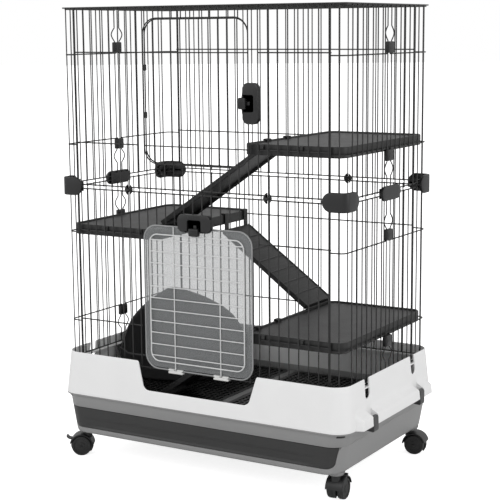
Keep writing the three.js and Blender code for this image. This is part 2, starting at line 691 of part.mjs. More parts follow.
// ---------- Door latches ----------
// Both are made for a door frame that runs along Z at x = 0 with its back face at y = 0. The case
// is clipped over the frame's wire. The slider's hook lies behind the opening's edge wire, on the
// side of -X, and moves along +X to let the door go. Both are then turned and placed.
const caseLeft = -LATCH_OVER;
const caseRight = LATCH_WIDTH - LATCH_OVER;
const slotBack = -LOWER_DOOR_WIRE - CLEAR - LATCH_PLATE; // back of the slider's way
const slotFront = slotBack - LATCH_BAR[1] - 2 * LATCH_RUN;
function latchCase() {
  const half = LATCH_LENGTH / 2;
  const middle = (caseLeft + caseRight) / 2;
  const outline = roundedOutline(caseLeft, -half, caseRight, half, LATCH_CORNER);
  const body = pushAlongY(outline, -LATCH_THICK, LATCH_THICK);
  const groove = LOWER_DOOR_WIRE / 2 + CLEAR;
  const wireWay = block([-groove, -2 * groove, -half - 1], [groove, 1, half + 1]);
  const sheetFront = -(LOWER_DOOR_WIRE + SHEET) / 2 - CLEAR;
  const sheetWay = block([caseLeft - 1, sheetFront, -half - 1], [0, 1, half + 1]);
  const [long, wide] = LATCH_WINDOW;
  const window = block([caseLeft - 1, -LATCH_THICK - 1, -wide / 2], [caseLeft + long, slotBack, wide / 2]);
  const barHalf = LATCH_BAR[0] / 2 + LATCH_RUN;
  const way = block([caseLeft + 1, slotFront, -barHalf], [caseRight - 2, slotBack, barHalf]);
  const stemWay = block(
    [LATCH_STEM_AT - LATCH_RUN, slotBack - 1, -barHalf],
    [LATCH_STEM_AT + LATCH_STEM + LATCH_TRAVEL + LATCH_RUN, 1, barHalf],
  );
  return cut(body, [wireWay, sheetWay, window, way, stemWay]);
}
// The slider: a finger block at the window's left, a bar behind it, and a stem with its hook.
function latchSlider() {
  const [knobLong, knobWide] = LATCH_KNOB;
  const [across, thick] = LATCH_BAR;
  const back = slotBack - LATCH_RUN;
  const left = caseLeft - LATCH_REACH;
  const half = across / 2;
  const hookY = DOOR_STANDOFF + panelFace + RAIL / 2 + LATCH_RUN; // front face of the hook
  return join([
    block([left, -LATCH_THICK - LATCH_PROUD, -knobWide / 2], [left + knobLong, back, knobWide / 2]),
    block([left + 1, back - thick, -half], [LATCH_STEM_AT + LATCH_STEM, back, half]),
    block([LATCH_STEM_AT, back - 1, -half], [LATCH_STEM_AT + LATCH_STEM, hookY + LATCH_HOOK, half]),
    block([-DOOR_OVERLAP - 3, hookY, -half], [LATCH_STEM_AT + 1, hookY + LATCH_HOOK, half]),
  ]);
}
const upperLatchHeight = upperOpening.bottom + upperOpening.height / 2 - LATCH_LOW;
for (const [name, x, z, turn] of [
  ["upper", doorHalf + DOOR_OVERLAP, upperLatchHeight, 0],
  ["lower", 0, lowerDoorTop - LOWER_DOOR_WIRE / 2, -Math.PI / 2],
]) {
  for (const [piece, made] of [["case", latchCase()], ["slider", latchSlider()]]) {
    const mesh = add(name + "_latch_" + piece, made, CLASP_PLASTIC());
    mesh.position.set(x, doorBack, z);
    mesh.rotation.y = turn;
  }
}

// ---------- Lower door ----------
const lowerDoor = {
  half: LOWER_DOOR_WIDTH / 2 - LOWER_DOOR_WIRE / 2,
  bottom: lower.bottom + LOWER_DOOR_LIFT + LOWER_DOOR_WIRE / 2,
  top: lowerDoorTop - LOWER_DOOR_WIRE / 2,
};
function lowerDoorGrid() {
  const { half, bottom, top } = lowerDoor;
  const frame = loopOutline(-half, bottom, half, top, DOOR_CORNER, LOWER_DOOR_WIRE);
  const pieces = [pushAlongY(frame, doorBack - LOWER_DOOR_WIRE, LOWER_DOOR_WIRE)];
  const uprightY = doorBack - LOWER_DOOR_WIRE - WIRE / 2 + LOWER_SINK;
  for (const x of [-HINGE_SPREAD, HINGE_SPREAD]) {
    pieces.push(wireAlong("z", bottom, top, [x, uprightY], WIRE));
  }
  const rowY = uprightY - WIRE - CLEAR;
  const gridHalf = LOWER_GRID_WIDTH / 2;
  const gridBottom = bottom + LOWER_GRID_MARGIN;
  const gridTop = top - LOWER_GRID_MARGIN;
  const loop = loopOutline(-gridHalf, gridBottom, gridHalf, gridTop, DOOR_CORNER / 2, RAIL);
  pieces.push(pushAlongY(loop, rowY - RAIL / 2, RAIL));
  const firstRow = (gridBottom + gridTop) / 2 - ((LOWER_GRID_ROWS - 1) / 2) * LOWER_GRID_ROW_PITCH;
  for (let i = 0; i < LOWER_GRID_ROWS; i += 1) {
    const z = firstRow + i * LOWER_GRID_ROW_PITCH;
    pieces.push(wireAlong("x", -gridHalf, gridHalf, [rowY, z], WIRE));
  }
  for (const x of [-HINGE_SPREAD, HINGE_SPREAD]) {
    for (const z of [gridBottom, gridTop]) {
      pieces.push(wireAlong("y", rowY, uprightY, [x, z], WELD));
    }
  }
  return join(pieces);
}
add("lower_door", lowerDoorGrid(), LIGHT_WIRE());

// The clear panel inside the lower door's frame, behind its wires.
function doorSheet() {
  const inset = LOWER_DOOR_WIRE / 2 + CLEAR;
  const { half, bottom, top } = lowerDoor;
  const radius = DOOR_CORNER - inset;
  const low = bottom + inset + HINGE_CAP + CLEAR;
  const outline = roundedOutline(-half + inset, low, half - inset, top - inset, radius);
  return pushAlongY(outline, doorBack - (LOWER_DOOR_WIRE + SHEET) / 2, SHEET);
}
add("lower_door_sheet", doorSheet(), clearSheet());

// A hinge clip turns on the lowest cross wire and grips the door's frame. Its two lugs pass
// either side of an upright.
function hingeClip(x) {
  const z = lower.bottom;
  const frameY = doorBack - LOWER_DOOR_WIRE / 2;
  const frameBore = LOWER_DOOR_WIRE / 2 + CLEAR;
  const front = frameY - frameBore - 2.4;
  const back = frontLine + HINGE_BORE / 2 + 1.8;
  const low = z - HINGE_BORE / 2 - 1.6;
  const high = lowerDoor.bottom + frameBore + HINGE_CAP;
  const lugs = [-1, 1].map((side) => {
    const from = x + (side * HINGE_LUG_GAP) / 2;
    return block([from, front, low], [from + side * HINGE_LUG, back, high]);
  });
  const bridgeTop = lowerDoor.bottom - WIRE_CLEAR;
  const bridge = block(
    [x - HINGE_LUG_GAP, front, low],
    [x + HINGE_LUG_GAP, frameY - frameBore, bridgeTop],
  );
  const length = HINGE_LUG_GAP / 2 + HINGE_LUG + 1;
  const bore = HINGE_BORE / 2;
  const railBore = block([x - length, frontLine - bore, z - bore], [x + length, frontLine + bore, z + bore]);
  const frameZ = lowerDoor.bottom;
  const frameHole = block(
    [x - length, frameY - frameBore, frameZ - frameBore],
    [x + length, frameY + frameBore, frameZ + frameBore],
  );
  return cut(join([...lugs, bridge]), [railBore, frameHole]);
}
add("lower_door_hinge_left", hingeClip(-HINGE_SPREAD), CLIP_PLASTIC());
add("lower_door_hinge_right", hingeClip(HINGE_SPREAD), CLIP_PLASTIC());

// ---------- Skirt ----------
const skirtLevel = (z, inset) => {
  const lean = (2 * SKIRT_LEAN * (z - SKIRT_BOTTOM)) / SKIRT_HEIGHT;
  return {
    z,
    width: skirtWidth - lean - 2 * inset,
    depth: skirtDepth - lean - 2 * inset,
    radius: SKIRT_CORNER - inset,
  };
};
const claspPivot = {
  x: skirtWidth / 2 + GRIP_OUT - CLASP_THICK / 2,
  z: SKIRT_BOTTOM + CLASP_PIVOT_LIFT,
};
function dipOutline() {
  const top = skirtTop + 5;
  const floor = SKIRT_BOTTOM + DIP_FLOOR;
  const shape = new THREE.Shape();
  shape.moveTo(-DIP_TOP_HALF, top);
  shape.lineTo(-DIP_BOTTOM_HALF, floor + DIP_CORNER);
  shape.quadraticCurveTo(-DIP_BOTTOM_HALF + 2, floor, -DIP_BOTTOM_HALF + DIP_CORNER, floor);
  shape.lineTo(DIP_BOTTOM_HALF - DIP_CORNER, floor);
  shape.quadraticCurveTo(DIP_BOTTOM_HALF - 2, floor, DIP_BOTTOM_HALF, floor + DIP_CORNER);
  shape.lineTo(DIP_TOP_HALF, top);
  return shape;
}

// A grip along one side: a ledge with a sloping top, and a notch for each clasp.
function sideGrip(signX) {
  const root = skirtWidth / 2 - SKIRT_WALL + 0.2; // inside the leaning wall at every height
  const out = skirtWidth / 2 + GRIP_OUT;
  const half = GRIP_LENGTH / 2;
  const plan = [
    [root, -half],
    [out - 8, -half],
    [out, 8 - half],
    [out, half - 8],
    [out - 8, half],
    [root, half],
  ].map(([x, y]) => [signX * x, y]);
  const ledge = pushUp(shapeOf(plan), SKIRT_BOTTOM + 1, GRIP_HEIGHT);
  const slope = [
    [signX * (out + 1), SKIRT_BOTTOM + GRIP_HEIGHT - 12],
    [signX * (out + 1), skirtTop],
    [signX * (root - 1), skirtTop],
    [signX * (root - 1), SKIRT_BOTTOM + GRIP_HEIGHT + 1],
  ];
  const above = pushAlongY(shapeOf(slope), -half - 1, 2 * half + 2);
  const hollow = [-1, 0, 1].map((third) => {
    const reach = third === 0 ? LATCH_LINE - CLASP_WIDTH : (half - LATCH_LINE - CLASP_WIDTH) / 2 - 4;
    const middle = third * (LATCH_LINE + CLASP_WIDTH + reach);
    const top = SKIRT_BOTTOM + GRIP_HEIGHT - 12 - SKIRT_WALL;
    const from = [(signX * skirtWidth) / 2, middle - reach, SKIRT_BOTTOM];
    return block(from, [signX * (out - SKIRT_WALL), middle + reach, top]);
  });
  return cut(ledge, [above, ...hollow]);
}

function skirt() {
  const outer = stack([skirtLevel(SKIRT_BOTTOM, 0), skirtLevel(skirtTop, 0)]);
  const inner = stack([
    skirtLevel(SKIRT_BOTTOM - 5, SKIRT_WALL),
    skirtLevel(skirtTop + 5, SKIRT_WALL),
  ]);
  const ledgeTop = lower.bottom - RAIL / 2 - CLEAR;
  const ledgeLow = ledgeTop - SKIRT_LEDGE_THICK;
  const ledgeOuter = stack([
    skirtLevel(ledgeLow, SKIRT_WALL / 2),
    skirtLevel(ledgeTop, SKIRT_WALL / 2),
  ]);
  const ledgeHole = pushUp(
    roundedOutline(
      -ledgeWidth / 2,
      -ledgeDepth / 2,
      ledgeWidth / 2,
      ledgeDepth / 2,
      PAN_CORNER - 4,
    ),
    ledgeLow - 1,
    SKIRT_LEDGE_THICK + 2,
  );
  const shell = join([
    cut(outer, [inner]),
    cut(ledgeOuter, [ledgeHole]),
    sideGrip(-1),
    sideGrip(1),
  ]);
  const front = skirtDepth / 2;
  const dipEnd = ledgeDepth / 2 - PAN_CORNER; // the dip also cuts the ledge
  const tools = [pushAlongY(dipOutline(), -2 * front, 2 * front - dipEnd)];
  for (const signX of [-1, 1]) {
    for (const signY of [-1, 1]) {
      const y = signY * LATCH_LINE;
      const half = SLOT_WIDTH / 2;
      const low = skirtTop - SLOT_DEPTH;
      const slot = roundedOutline(y - half, low, y + half, skirtTop + SLOT_DEPTH, half - 0.01);
      const start = ledgeWidth / 2 + 14;
      tools.push(pushAlongX(slot, signX > 0 ? start : -start - 40, 40));
      const notchHalf = CLASP_WIDTH / 2 + LATCH_RUN;
      const notchFrom = skirtWidth / 2 + 0.6;
      const notchTop = claspPivot.z + CLASP_ABOVE + 1.4;
      const notch = [signX * notchFrom, y - notchHalf, SKIRT_BOTTOM - 1];
      tools.push(block(notch, [signX * (skirtWidth / 2 + 40), y + notchHalf, notchTop]));
    }
  }
  const pins = [];
  for (const signX of [-1, 1]) {
    for (const signY of [-1, 1]) {
      const at = [signX * claspPivot.x, signY * LATCH_LINE, claspPivot.z];
      pins.push(bar("y", at, CLASP_PIN_RADIUS, CLASP_WIDTH + 6, 12));
    }
  }
  return join([cut(shell, tools), ...pins]);
}
add("skirt", skirt(), WHITE_PLASTIC());

// A clasp turns on its pin in the grip's notch and hooks under the base's flange.
function clasp(signX, signY) {
  const y = signY * LATCH_LINE;
  const half = CLASP_WIDTH / 2;
  const { x, z } = claspPivot;
  const thick = CLASP_THICK / 2;
  const low = z - CLASP_DROP;
  const hookTop = SKIRT_BOTTOM - CLEAR - BASE_LIP - CLEAR;
  const at = (across, height) => [signX * across, height];
  const outline = shapeOf([
    at(x - thick + 3, z + CLASP_ABOVE),
    at(x + thick, z + CLASP_ABOVE - 3),
    at(x + thick + 1, low + 3),
    at(x + thick - 3, low),
    at(skirtWidth / 2 - 5, low + 2),
    at(skirtWidth / 2 - 5, hookTop),
    at(x - thick + 1, hookTop),
    at(x - thick, z - 4),
    at(x - thick, z + CLASP_ABOVE - 3),
  ]);
  const body = pushAlongY(outline, y - half, CLASP_WIDTH);
  const bore = bar("y", [signX * x, y, z], CLASP_PIN_RADIUS + CLEAR, CLASP_WIDTH + 2, 12);
  return cut(body, [bore]);
}
for (const { place, signX, signY } of CORNERS) {
  add("skirt_clasp_" + place, clasp(signX, signY), CLASP_PLASTIC());
}

// ---------- Base ----------
const baseRimTop = SKIRT_BOTTOM - CLEAR;
const baseLevel = (z, inset) => {
  const share = (z - BASE_BOTTOM) / (baseRimTop - BASE_BOTTOM);
  return {
    z,
    width: baseWidth + share * (rimWidth - baseWidth) - 2 * inset,
    depth: baseDepth + share * (rimDepth - baseDepth) - 2 * inset,
    radius: BASE_CORNER - inset,
  };
};
// The drawer front's outline, wider at the top and round at its lower corners.
function drawerFrontOutline(gap) {
  const top = DRAWER_FRONT_TOP + gap;
  const bottom = DRAWER_FLOOR - gap;
  const topHalf = drawerFrontHalf + gap;
  const bottomHalf = topHalf - DRAWER_FRONT_NARROW;
  const shape = new THREE.Shape();
  shape.moveTo(-topHalf, top);
  shape.lineTo(-bottomHalf, bottom + DRAWER_FRONT_CORNER);
  shape.quadraticCurveTo(-bottomHalf, bottom, -bottomHalf + DRAWER_FRONT_CORNER, bottom);
  shape.lineTo(bottomHalf - DRAWER_FRONT_CORNER, bottom);
  shape.quadraticCurveTo(bottomHalf, bottom, bottomHalf, bottom + DRAWER_FRONT_CORNER);
  shape.lineTo(topHalf, top);
  return shape;
}

const seatTop = FLOOR_LEVEL - GRATE_THICK - CLEAR;
function basePan() {
  const outer = stack([baseLevel(BASE_BOTTOM, 0), baseLevel(SKIRT_BOTTOM + BASE_NEST, 0)]);
  const inner = stack([
    baseLevel(BASE_BOTTOM + BASE_WALL, BASE_WALL),
    baseLevel(SKIRT_BOTTOM + BASE_NEST + 5, BASE_WALL),
  ]);
  const lipOutline = (z) => ({ ...skirtLevel(SKIRT_BOTTOM, 0), z });
  const lip = stack([lipOutline(baseRimTop - BASE_LIP), lipOutline(baseRimTop)]);
  const seatLow = seatTop - GRATE_SEAT;
  const seat = cut(
    stack([baseLevel(seatLow, BASE_WALL / 2), baseLevel(seatTop, BASE_WALL / 2)]),
    [
      stack([
        baseLevel(seatLow - 1, BASE_WALL + GRATE_SEAT_WIDTH),
        baseLevel(seatTop + 1, BASE_WALL + GRATE_SEAT_WIDTH),
      ]),
    ],
  );
  const reach = baseLevel(seatLow, 0).depth / 2 - BASE_WALL / 2;
  const rib = DIVIDER_WIDTH / 2;
  const divider = [
    block([-rib - 8, -reach, seatLow], [rib + 8, reach, seatTop]),
    block([-rib, -reach, seatTop - 1], [rib, reach, FLOOR_LEVEL]),
  ];
  const holeDepth = baseDepth / 2 + DRAWER_WRAP + DRAWER_GAP;
  const drawerHole = pushAlongY(drawerFrontOutline(DRAWER_GAP), -baseDepth, holeDepth);
  const pan = cut(join([outer, lip]), [inner, drawerHole]);
  const runnerBack = baseDepth / 2 - BASE_WALL;
  const runners = [-1, 1].map((side) => {
    const x = side * (drawerWidth / 2 - RUNNER_IN);
    const from = [x - RUNNER_WIDTH / 2, -runnerBack + 12, BASE_BOTTOM + BASE_WALL - 1];
    return block(from, [x + RUNNER_WIDTH / 2, runnerBack, DRAWER_FLOOR - CLEAR]);
  });
  const bosses = CORNERS.map(({ signX, signY }) => {
    const length = BASE_BOTTOM + BASE_WALL - BOSS_BOTTOM;
    const at = [signX * casterAt[0], signY * casterAt[1], BOSS_BOTTOM + length / 2];
    return bar("z", at, BOSS_RADIUS, length, 12);
  });
  const sockets = CORNERS.map(({ signX, signY }) => {
    const length = STEM_LENGTH + 2;
    const at = [signX * casterAt[0], signY * casterAt[1], BOSS_BOTTOM + length / 2 - 1];
    return bar("z", at, STEM_RADIUS + CLEAR, length, 12);
  });
  return cut(join([pan, seat, ...divider, ...runners, ...bosses]), sockets);
}
add("base_pan", basePan(), GREY_PLASTIC());

// ---------- Drawer ----------
function drawer() {
  const shell = stack([baseLevel(BASE_BOTTOM, 0.5), baseLevel(SKIRT_BOTTOM, 0.5)]);
  const core = stack([
    baseLevel(BASE_BOTTOM, 0.5 + DRAWER_FRONT_THICK),
    baseLevel(SKIRT_BOTTOM, 0.5 + DRAWER_FRONT_THICK),
  ]);
  const face = pushAlongY(drawerFrontOutline(0), -baseDepth / 2 - 5, DRAWER_WRAP + 5);
  const front = cut(shell.intersect(face), [core]);
  const half = drawerWidth / 2;
  const frontY = -baseDepth / 2 + DRAWER_FRONT_THICK / 2;
  const backY = baseDepth / 2 - BASE_WALL - DRAWER_SLACK;
  const top = DRAWER_FLOOR + DRAWER_HEIGHT;
  const corner = BASE_CORNER;
  const plan = new THREE.Shape();
  plan.moveTo(-half + BASE_CORNER - 6, frontY);
  plan.lineTo(half - BASE_CORNER + 6, frontY);
  plan.lineTo(half, frontY + BASE_CORNER - 6);
  plan.lineTo(half, backY - corner);
  plan.quadraticCurveTo(half, backY, half - corner, backY);
  plan.lineTo(-half + corner, backY);
  plan.quadraticCurveTo(-half, backY, -half, backY - corner);
  plan.lineTo(-half, frontY + BASE_CORNER - 6);
  const tray = pushUp(plan, DRAWER_FLOOR, DRAWER_HEIGHT);
  const innerHalf = half - DRAWER_WALL;
  const inside = roundedOutline(
    -innerHalf,
    frontY + BASE_CORNER - 6,
    innerHalf,
    backY - DRAWER_WALL,
    corner - DRAWER_WALL,
  );
  const frontWell = half - BASE_CORNER;
  const well = pushUp(inside, DRAWER_FLOOR + DRAWER_WALL, DRAWER_HEIGHT);
  const nose = block(
    [-frontWell, frontY + DRAWER_WALL, DRAWER_FLOOR + DRAWER_WALL],
    [frontWell, frontY + BASE_CORNER + 20, top + 1],
  );
  return join([front, cut(tray, [well, nose])]);
}
add("drawer_tray", drawer(), DRAWER_PLASTIC());

// ---------- Floor grates ----------
function grate(signX) {
  const size = baseLevel(FLOOR_LEVEL, BASE_WALL + 2);
  const plate = stack([
    { ...size, z: FLOOR_LEVEL - GRATE_THICK },
    { ...size, z: FLOOR_LEVEL },
  ]);
  const start = DIVIDER_WIDTH / 2 + CLEAR;
  const half = size.depth / 2 + 5;
  const keep = block([signX * start, -half, FLOOR_LEVEL - 10], [signX * size.width, half, FLOOR_LEVEL + 10]);
  const from = start + GRATE_BORDER;
  const to = size.width / 2 - GRATE_BORDER;
  const columnPitch = (to - from + GRATE_BAR) / GRATE_COLUMNS;
  const rowPitch = (size.depth - 2 * GRATE_BORDER + GRATE_BAR) / GRATE_ROWS;
  const slots = [];
  for (let column = 0; column < GRATE_COLUMNS; column += 1) {
    for (let row = 0; row < GRATE_ROWS; row += 1) {
      const x = from + column * columnPitch;
      const y = -size.depth / 2 + GRATE_BORDER + row * rowPitch;
      const near = [signX * x, y, FLOOR_LEVEL - 10];
      const farX = signX * (x + columnPitch - GRATE_BAR);
      slots.push(block(near, [farX, y + rowPitch - GRATE_BAR, FLOOR_LEVEL + 10]));
    }
  }
  return cut(plate.intersect(keep), slots);
}
add("floor_grate_left", grate(-1), BLACK_PLASTIC());
add("floor_grate_right", grate(1), BLACK_PLASTIC());

// ---------- Casters ----------
// Each is made with its swivel axis at x = y = 0 and its wheels trailing to +Y.
function casterBody() {
  const axle = [0, CASTER_TRAIL, WHEEL_RADIUS];
  const width = CASTER_WEB + 2 * WHEEL_WIDTH + 2;
  const hood = cut(bar("x", axle, HOOD_RADIUS, width, WHEEL_FACETS), [
    bar("x", axle, HOOD_RADIUS - HOOD_THICK, width + 2, WHEEL_FACETS),
    block([-width, -80, -80], [width, 80, WHEEL_RADIUS + 6]),
  ]);
  const web = cut(bar("x", axle, HOOD_RADIUS - HOOD_THICK / 2, CASTER_WEB, WHEEL_FACETS), [
    block([-width, -80, -80], [width, 80, WHEEL_RADIUS - 12]),
  ]);
  const top = BOSS_BOTTOM - CLEAR;
  const neck = bar("z", [0, 0, (top + WHEEL_RADIUS + 20) / 2], 9, top - WHEEL_RADIUS - 20, 12);
  const stem = bar("z", [0, 0, top + STEM_LENGTH / 2 - 1], STEM_RADIUS, STEM_LENGTH, 12);
  const wheelRoom = [-1, 1].map((side) => {
    const x = side * (CASTER_WEB / 2 + WHEEL_WIDTH / 2 + 0.5);
    return bar("x", [x, CASTER_TRAIL, WHEEL_RADIUS], WHEEL_RADIUS + 1, WHEEL_WIDTH + 1, WHEEL_FACETS);
  });
  const axleBore = bar("x", axle, AXLE_RADIUS + CLEAR, width + 4, 12);
  return cut(join([hood, web, neck, stem]), [...wheelRoom, axleBore]);
}
function casterWheels() {
  const axle = [0, CASTER_TRAIL, WHEEL_RADIUS];
  const turned = Math.PI / WHEEL_FACETS; // stands the wheel on a flat
  const wheels = [-1, 1].map((side) => {
    const geometry = new THREE.CylinderGeometry(
      WHEEL_RADIUS / Math.cos(turned),
      WHEEL_RADIUS / Math.cos(turned),
      WHEEL_WIDTH - 1,
      WHEEL_FACETS,
    );
    geometry.rotateY(turned);
    geometry.rotateZ(Math.PI / 2);
    geometry.translate(side * (CASTER_WEB / 2 + WHEEL_WIDTH / 2 + 0.5), CASTER_TRAIL, WHEEL_RADIUS);
    return solid(geometry);
  });
  return join([...wheels, bar("x", axle, AXLE_RADIUS, CASTER_WEB + WHEEL_WIDTH, 12)]);
}
const CASTER_TURNS = { front_left: 120, front_right: 5, back_left: 215, back_right: -80 };
for (const { place, signX, signY } of CORNERS) {
  for (const [piece, made, material] of [
    ["body", casterBody(), BLACK_PLASTIC()],
    ["wheels", casterWheels(), BLACK_PLASTIC()],
  ]) {
    const mesh = add("caster_" + piece + "_" + place, made, material);
    mesh.position.set(signX * casterAt[0], signY * casterAt[1], 0);
    mesh.rotation.z = (CASTER_TURNS[place] * Math.PI) / 180;
  }
}

// ---------- Shelves ----------
const shelfHalfDepth = CAGE_DEPTH / 2 - SHELF_EDGE_GAP;
const shelfFar = sideLine - SHELF_EDGE_GAP; // |X| of a shelf's outer edge
const shelfNear = shelfFar - SHELF_WIDTH; // |X| of its inner edge
function shelf(signX, railHeight) {
  const top = railHeight + SHELF_ABOVE_RAIL;
  const low = top - SHELF_RIM_HEIGHT;
  const [x1, x2] = [signX * shelfNear, signX * shelfFar].sort((a, b) => a - b);
  const y = shelfHalfDepth;
  const outline = (inset) =>
    roundedOutline(x1 + inset, -y + inset, x2 - inset, y - inset, SHELF_CORNER - inset);
  const floorTop = top - SHELF_RECESS;
  const body = cut(pushUp(outline(0), low, SHELF_RIM_HEIGHT), [
    pushUp(outline(SHELF_RIM), floorTop, SHELF_RECESS + 1),
    pushUp(outline(SHELF_RIM), low - 1, SHELF_RIM_HEIGHT - SHELF_RECESS - SHELF_FLOOR + 1),
  ]);
  const lugs = [];
  const lugAt = [shelfNear + 50, shelfNear + 150];
  for (const signY of [-1, 1]) {
    for (const x of lugAt) {
      const middle = signX * x;
      const from = [middle - SHELF_LUG / 2, signY * (y - 2), railHeight + RAIL / 2 + CLEAR];
      const out = CAGE_DEPTH / 2 - WIRE / 2 - CLEAR;
      lugs.push(block(from, [middle + SHELF_LUG / 2, signY * out, top - 1]));
    }
  }
  return join([body, ...lugs]);
}
const [, lowerInner, lowerHigh] = railHeights(lower);
const [, upperInner] = railHeights(upper);
add("shelf_left", shelf(-1, lowerHigh), SHELF_PLASTIC());
add("shelf_top_right", shelf(1, upperInner), SHELF_PLASTIC());
add("shelf_lower_right", shelf(1, lowerInner), SHELF_PLASTIC());

// ---------- Ramps ----------
// A ramp hangs from one shelf's inner rim at x = startX and comes down at x = endX. Its hooks go
// over the rim, and its foot lies on the rim or the floor that it comes down to.
function ramp(name, startX, rimTop, endX, landing, footUp) {
  const way = Math.sign(endX - startX);
  const startZ = rimTop - RAMP_DROPS[name];
  const middleY = RAMP_MIDDLES[name];
  const endZ = landing + RAMP_END_RISE;
  const slope = Math.atan2(startZ - endZ, Math.abs(endX - startX));
  const length = Math.hypot(endX - startX, startZ - endZ);
  const half = RAMP_WIDTH / 2;
  const rim = RAMP_RIM_WIDTH;
  // Made lying along +X from the start, its walking face at z = 0.
  const pieces = [
    block([0, -half, -RAMP_PLATE], [length, half, 0]),
    block([0, -half, -RAMP_RIM], [length, -half + rim, 2]),
    block([0, half - rim, -RAMP_RIM], [length, half, 2]),
    block([0, -half, -RAMP_RIM], [rim, half, 0]),
    block([length - rim, -half, -RAMP_RIM], [length, half, 0]),
  ];
  const pitch = length / (RAMP_TREADS + 1);
  for (let i = 1; i <= RAMP_TREADS; i += 1) {
    const x = i * pitch;
    const [along, tall] = RAMP_TREAD;
    pieces.push(block([x - along / 2, -half + rim / 2, -1], [x + along / 2, half - rim / 2, tall]));
  }
  const laid = geometryOf(join(pieces));
  laid.rotateY(slope);
  if (way < 0) laid.rotateZ(Math.PI);
  laid.translate(startX, middleY, startZ);
  const back = (x) => startX - way * x; // towards the upper shelf
  const behind = block(
    [back(0), middleY - half - 1, startZ - RAMP_RIM - 9],
    [back(RAMP_RIM + 9), middleY + half + 1, startZ + 9],
  );
  const body = cut(solid(laid), [behind]);
  const hooks = [-1, 1].flatMap((side) => {
    const y = middleY + side * (half - RAMP_HOOK);
    const from = y - RAMP_HOOK / 2;
    const to = y + RAMP_HOOK / 2;
    const over = rimTop + CLEAR;
    const thick = RAMP_HOOK_THICK;
    return [
      block([back(0), from, startZ - 6], [back(-thick), to, over + thick]),
      block([back(0) + way, from, over], [back(SHELF_RIM + 3 + thick), to, over + thick]),
      block([back(SHELF_RIM + 3), from, rimTop - 3], [back(SHELF_RIM + 3 + thick), to, over + 1]),
    ];
  });
  const foot = block(
    [endX - way * 12, middleY - half + rim, landing + CLEAR],
    [endX + way * footUp, middleY + half - rim, landing + CLEAR + RAMP_HOOK_THICK],
  );
  return join([body, ...hooks, foot]);
}
const shelfTop = (railHeight) => railHeight + SHELF_ABOVE_RAIL;
const rampStart = shelfNear - 0.8; // the ramps start just clear of a shelf's inner edge
const [topRight, left, lowRight] = [upperInner, lowerHigh, lowerInner].map(shelfTop);
for (const [name, startX, rimTop, endX, landing, footUp] of [
  ["upper", rampStart, topRight, -shelfNear - RAMP_UPPER_REACH, left - SHELF_RECESS, 2],
  ["middle", -rampStart, left, shelfNear + RAMP_MIDDLE_REACH, lowRight, 2],
  ["lower", rampStart, lowRight, rampStart - RAMP_LOWER_RUN, FLOOR_LEVEL, 4],
]) {
  add("ramp_" + name, ramp(name, startX, rimTop, endX, landing, footUp), SHELF_PLASTIC());
}

// ---------- Litter pan ----------
// Two straight high walls meet in the cage's back left corner; a round lip faces the room.
function litterPan() {
  const corner = [-ledgeWidth / 2 + PAN_GAP, ledgeDepth / 2 - PAN_GAP];
  const outline = (inset) => {
    const points = [];
    const size = PAN_SIZE - inset;
    for (let step = 0; step <= PAN_STEPS; step += 1) {
      const turn = (step / PAN_STEPS) * (Math.PI / 2);
      const reach = (value) => Math.pow(Math.max(value, 0), PAN_POWER) * size;
      const x = Math.max(reach(Math.sin(turn)), inset);
      points.push([x, -Math.max(reach(Math.cos(turn)), inset)]);
    }
    const round = PAN_CORNER - (PAN_CORNER - inset) * Math.SQRT1_2;
    points.push([PAN_CORNER, -inset], [round, -round], [inset, -PAN_CORNER]);
    return shapeOf(points.map(([x, y]) => [corner[0] + x, corner[1] + y]));
  };
  const bottom = FLOOR_LEVEL + CLEAR;
  const tub = cut(pushUp(outline(0), bottom, PAN_HIGH), [
    pushUp(outline(PAN_WALL), bottom + PAN_WALL, PAN_HIGH),
  ]);
  // The walls sweep down from the corner to the lip, along the diagonal.
  const beyond = 2 * PAN_SIZE;
  const edge = [
    [-30, PAN_HIGH + 9],
    [-30, PAN_HIGH],
    [20, PAN_HIGH - 3],
    [80, PAN_HIGH - 20],
    [125, PAN_HIGH - 45],
    [150, PAN_HIGH - 72],
    [165, PAN_LOW + 26],
    [178, PAN_LOW],
    [beyond, PAN_LOW],
    [beyond, PAN_HIGH + 9],
  ];
  const sweep = new THREE.ExtrudeGeometry(shapeOf(edge), { depth: 2 * beyond, bevelEnabled: false });
  sweep.translate(0, 0, -beyond);
  sweep.rotateX(Math.PI / 2);
  sweep.rotateZ(-Math.PI / 4);
  sweep.translate(corner[0], corner[1], bottom);
  return cut(tub, [solid(sweep)]);
}
add("litter_pan", litterPan(), PAN_PLASTIC());

export default cage;
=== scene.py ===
import math

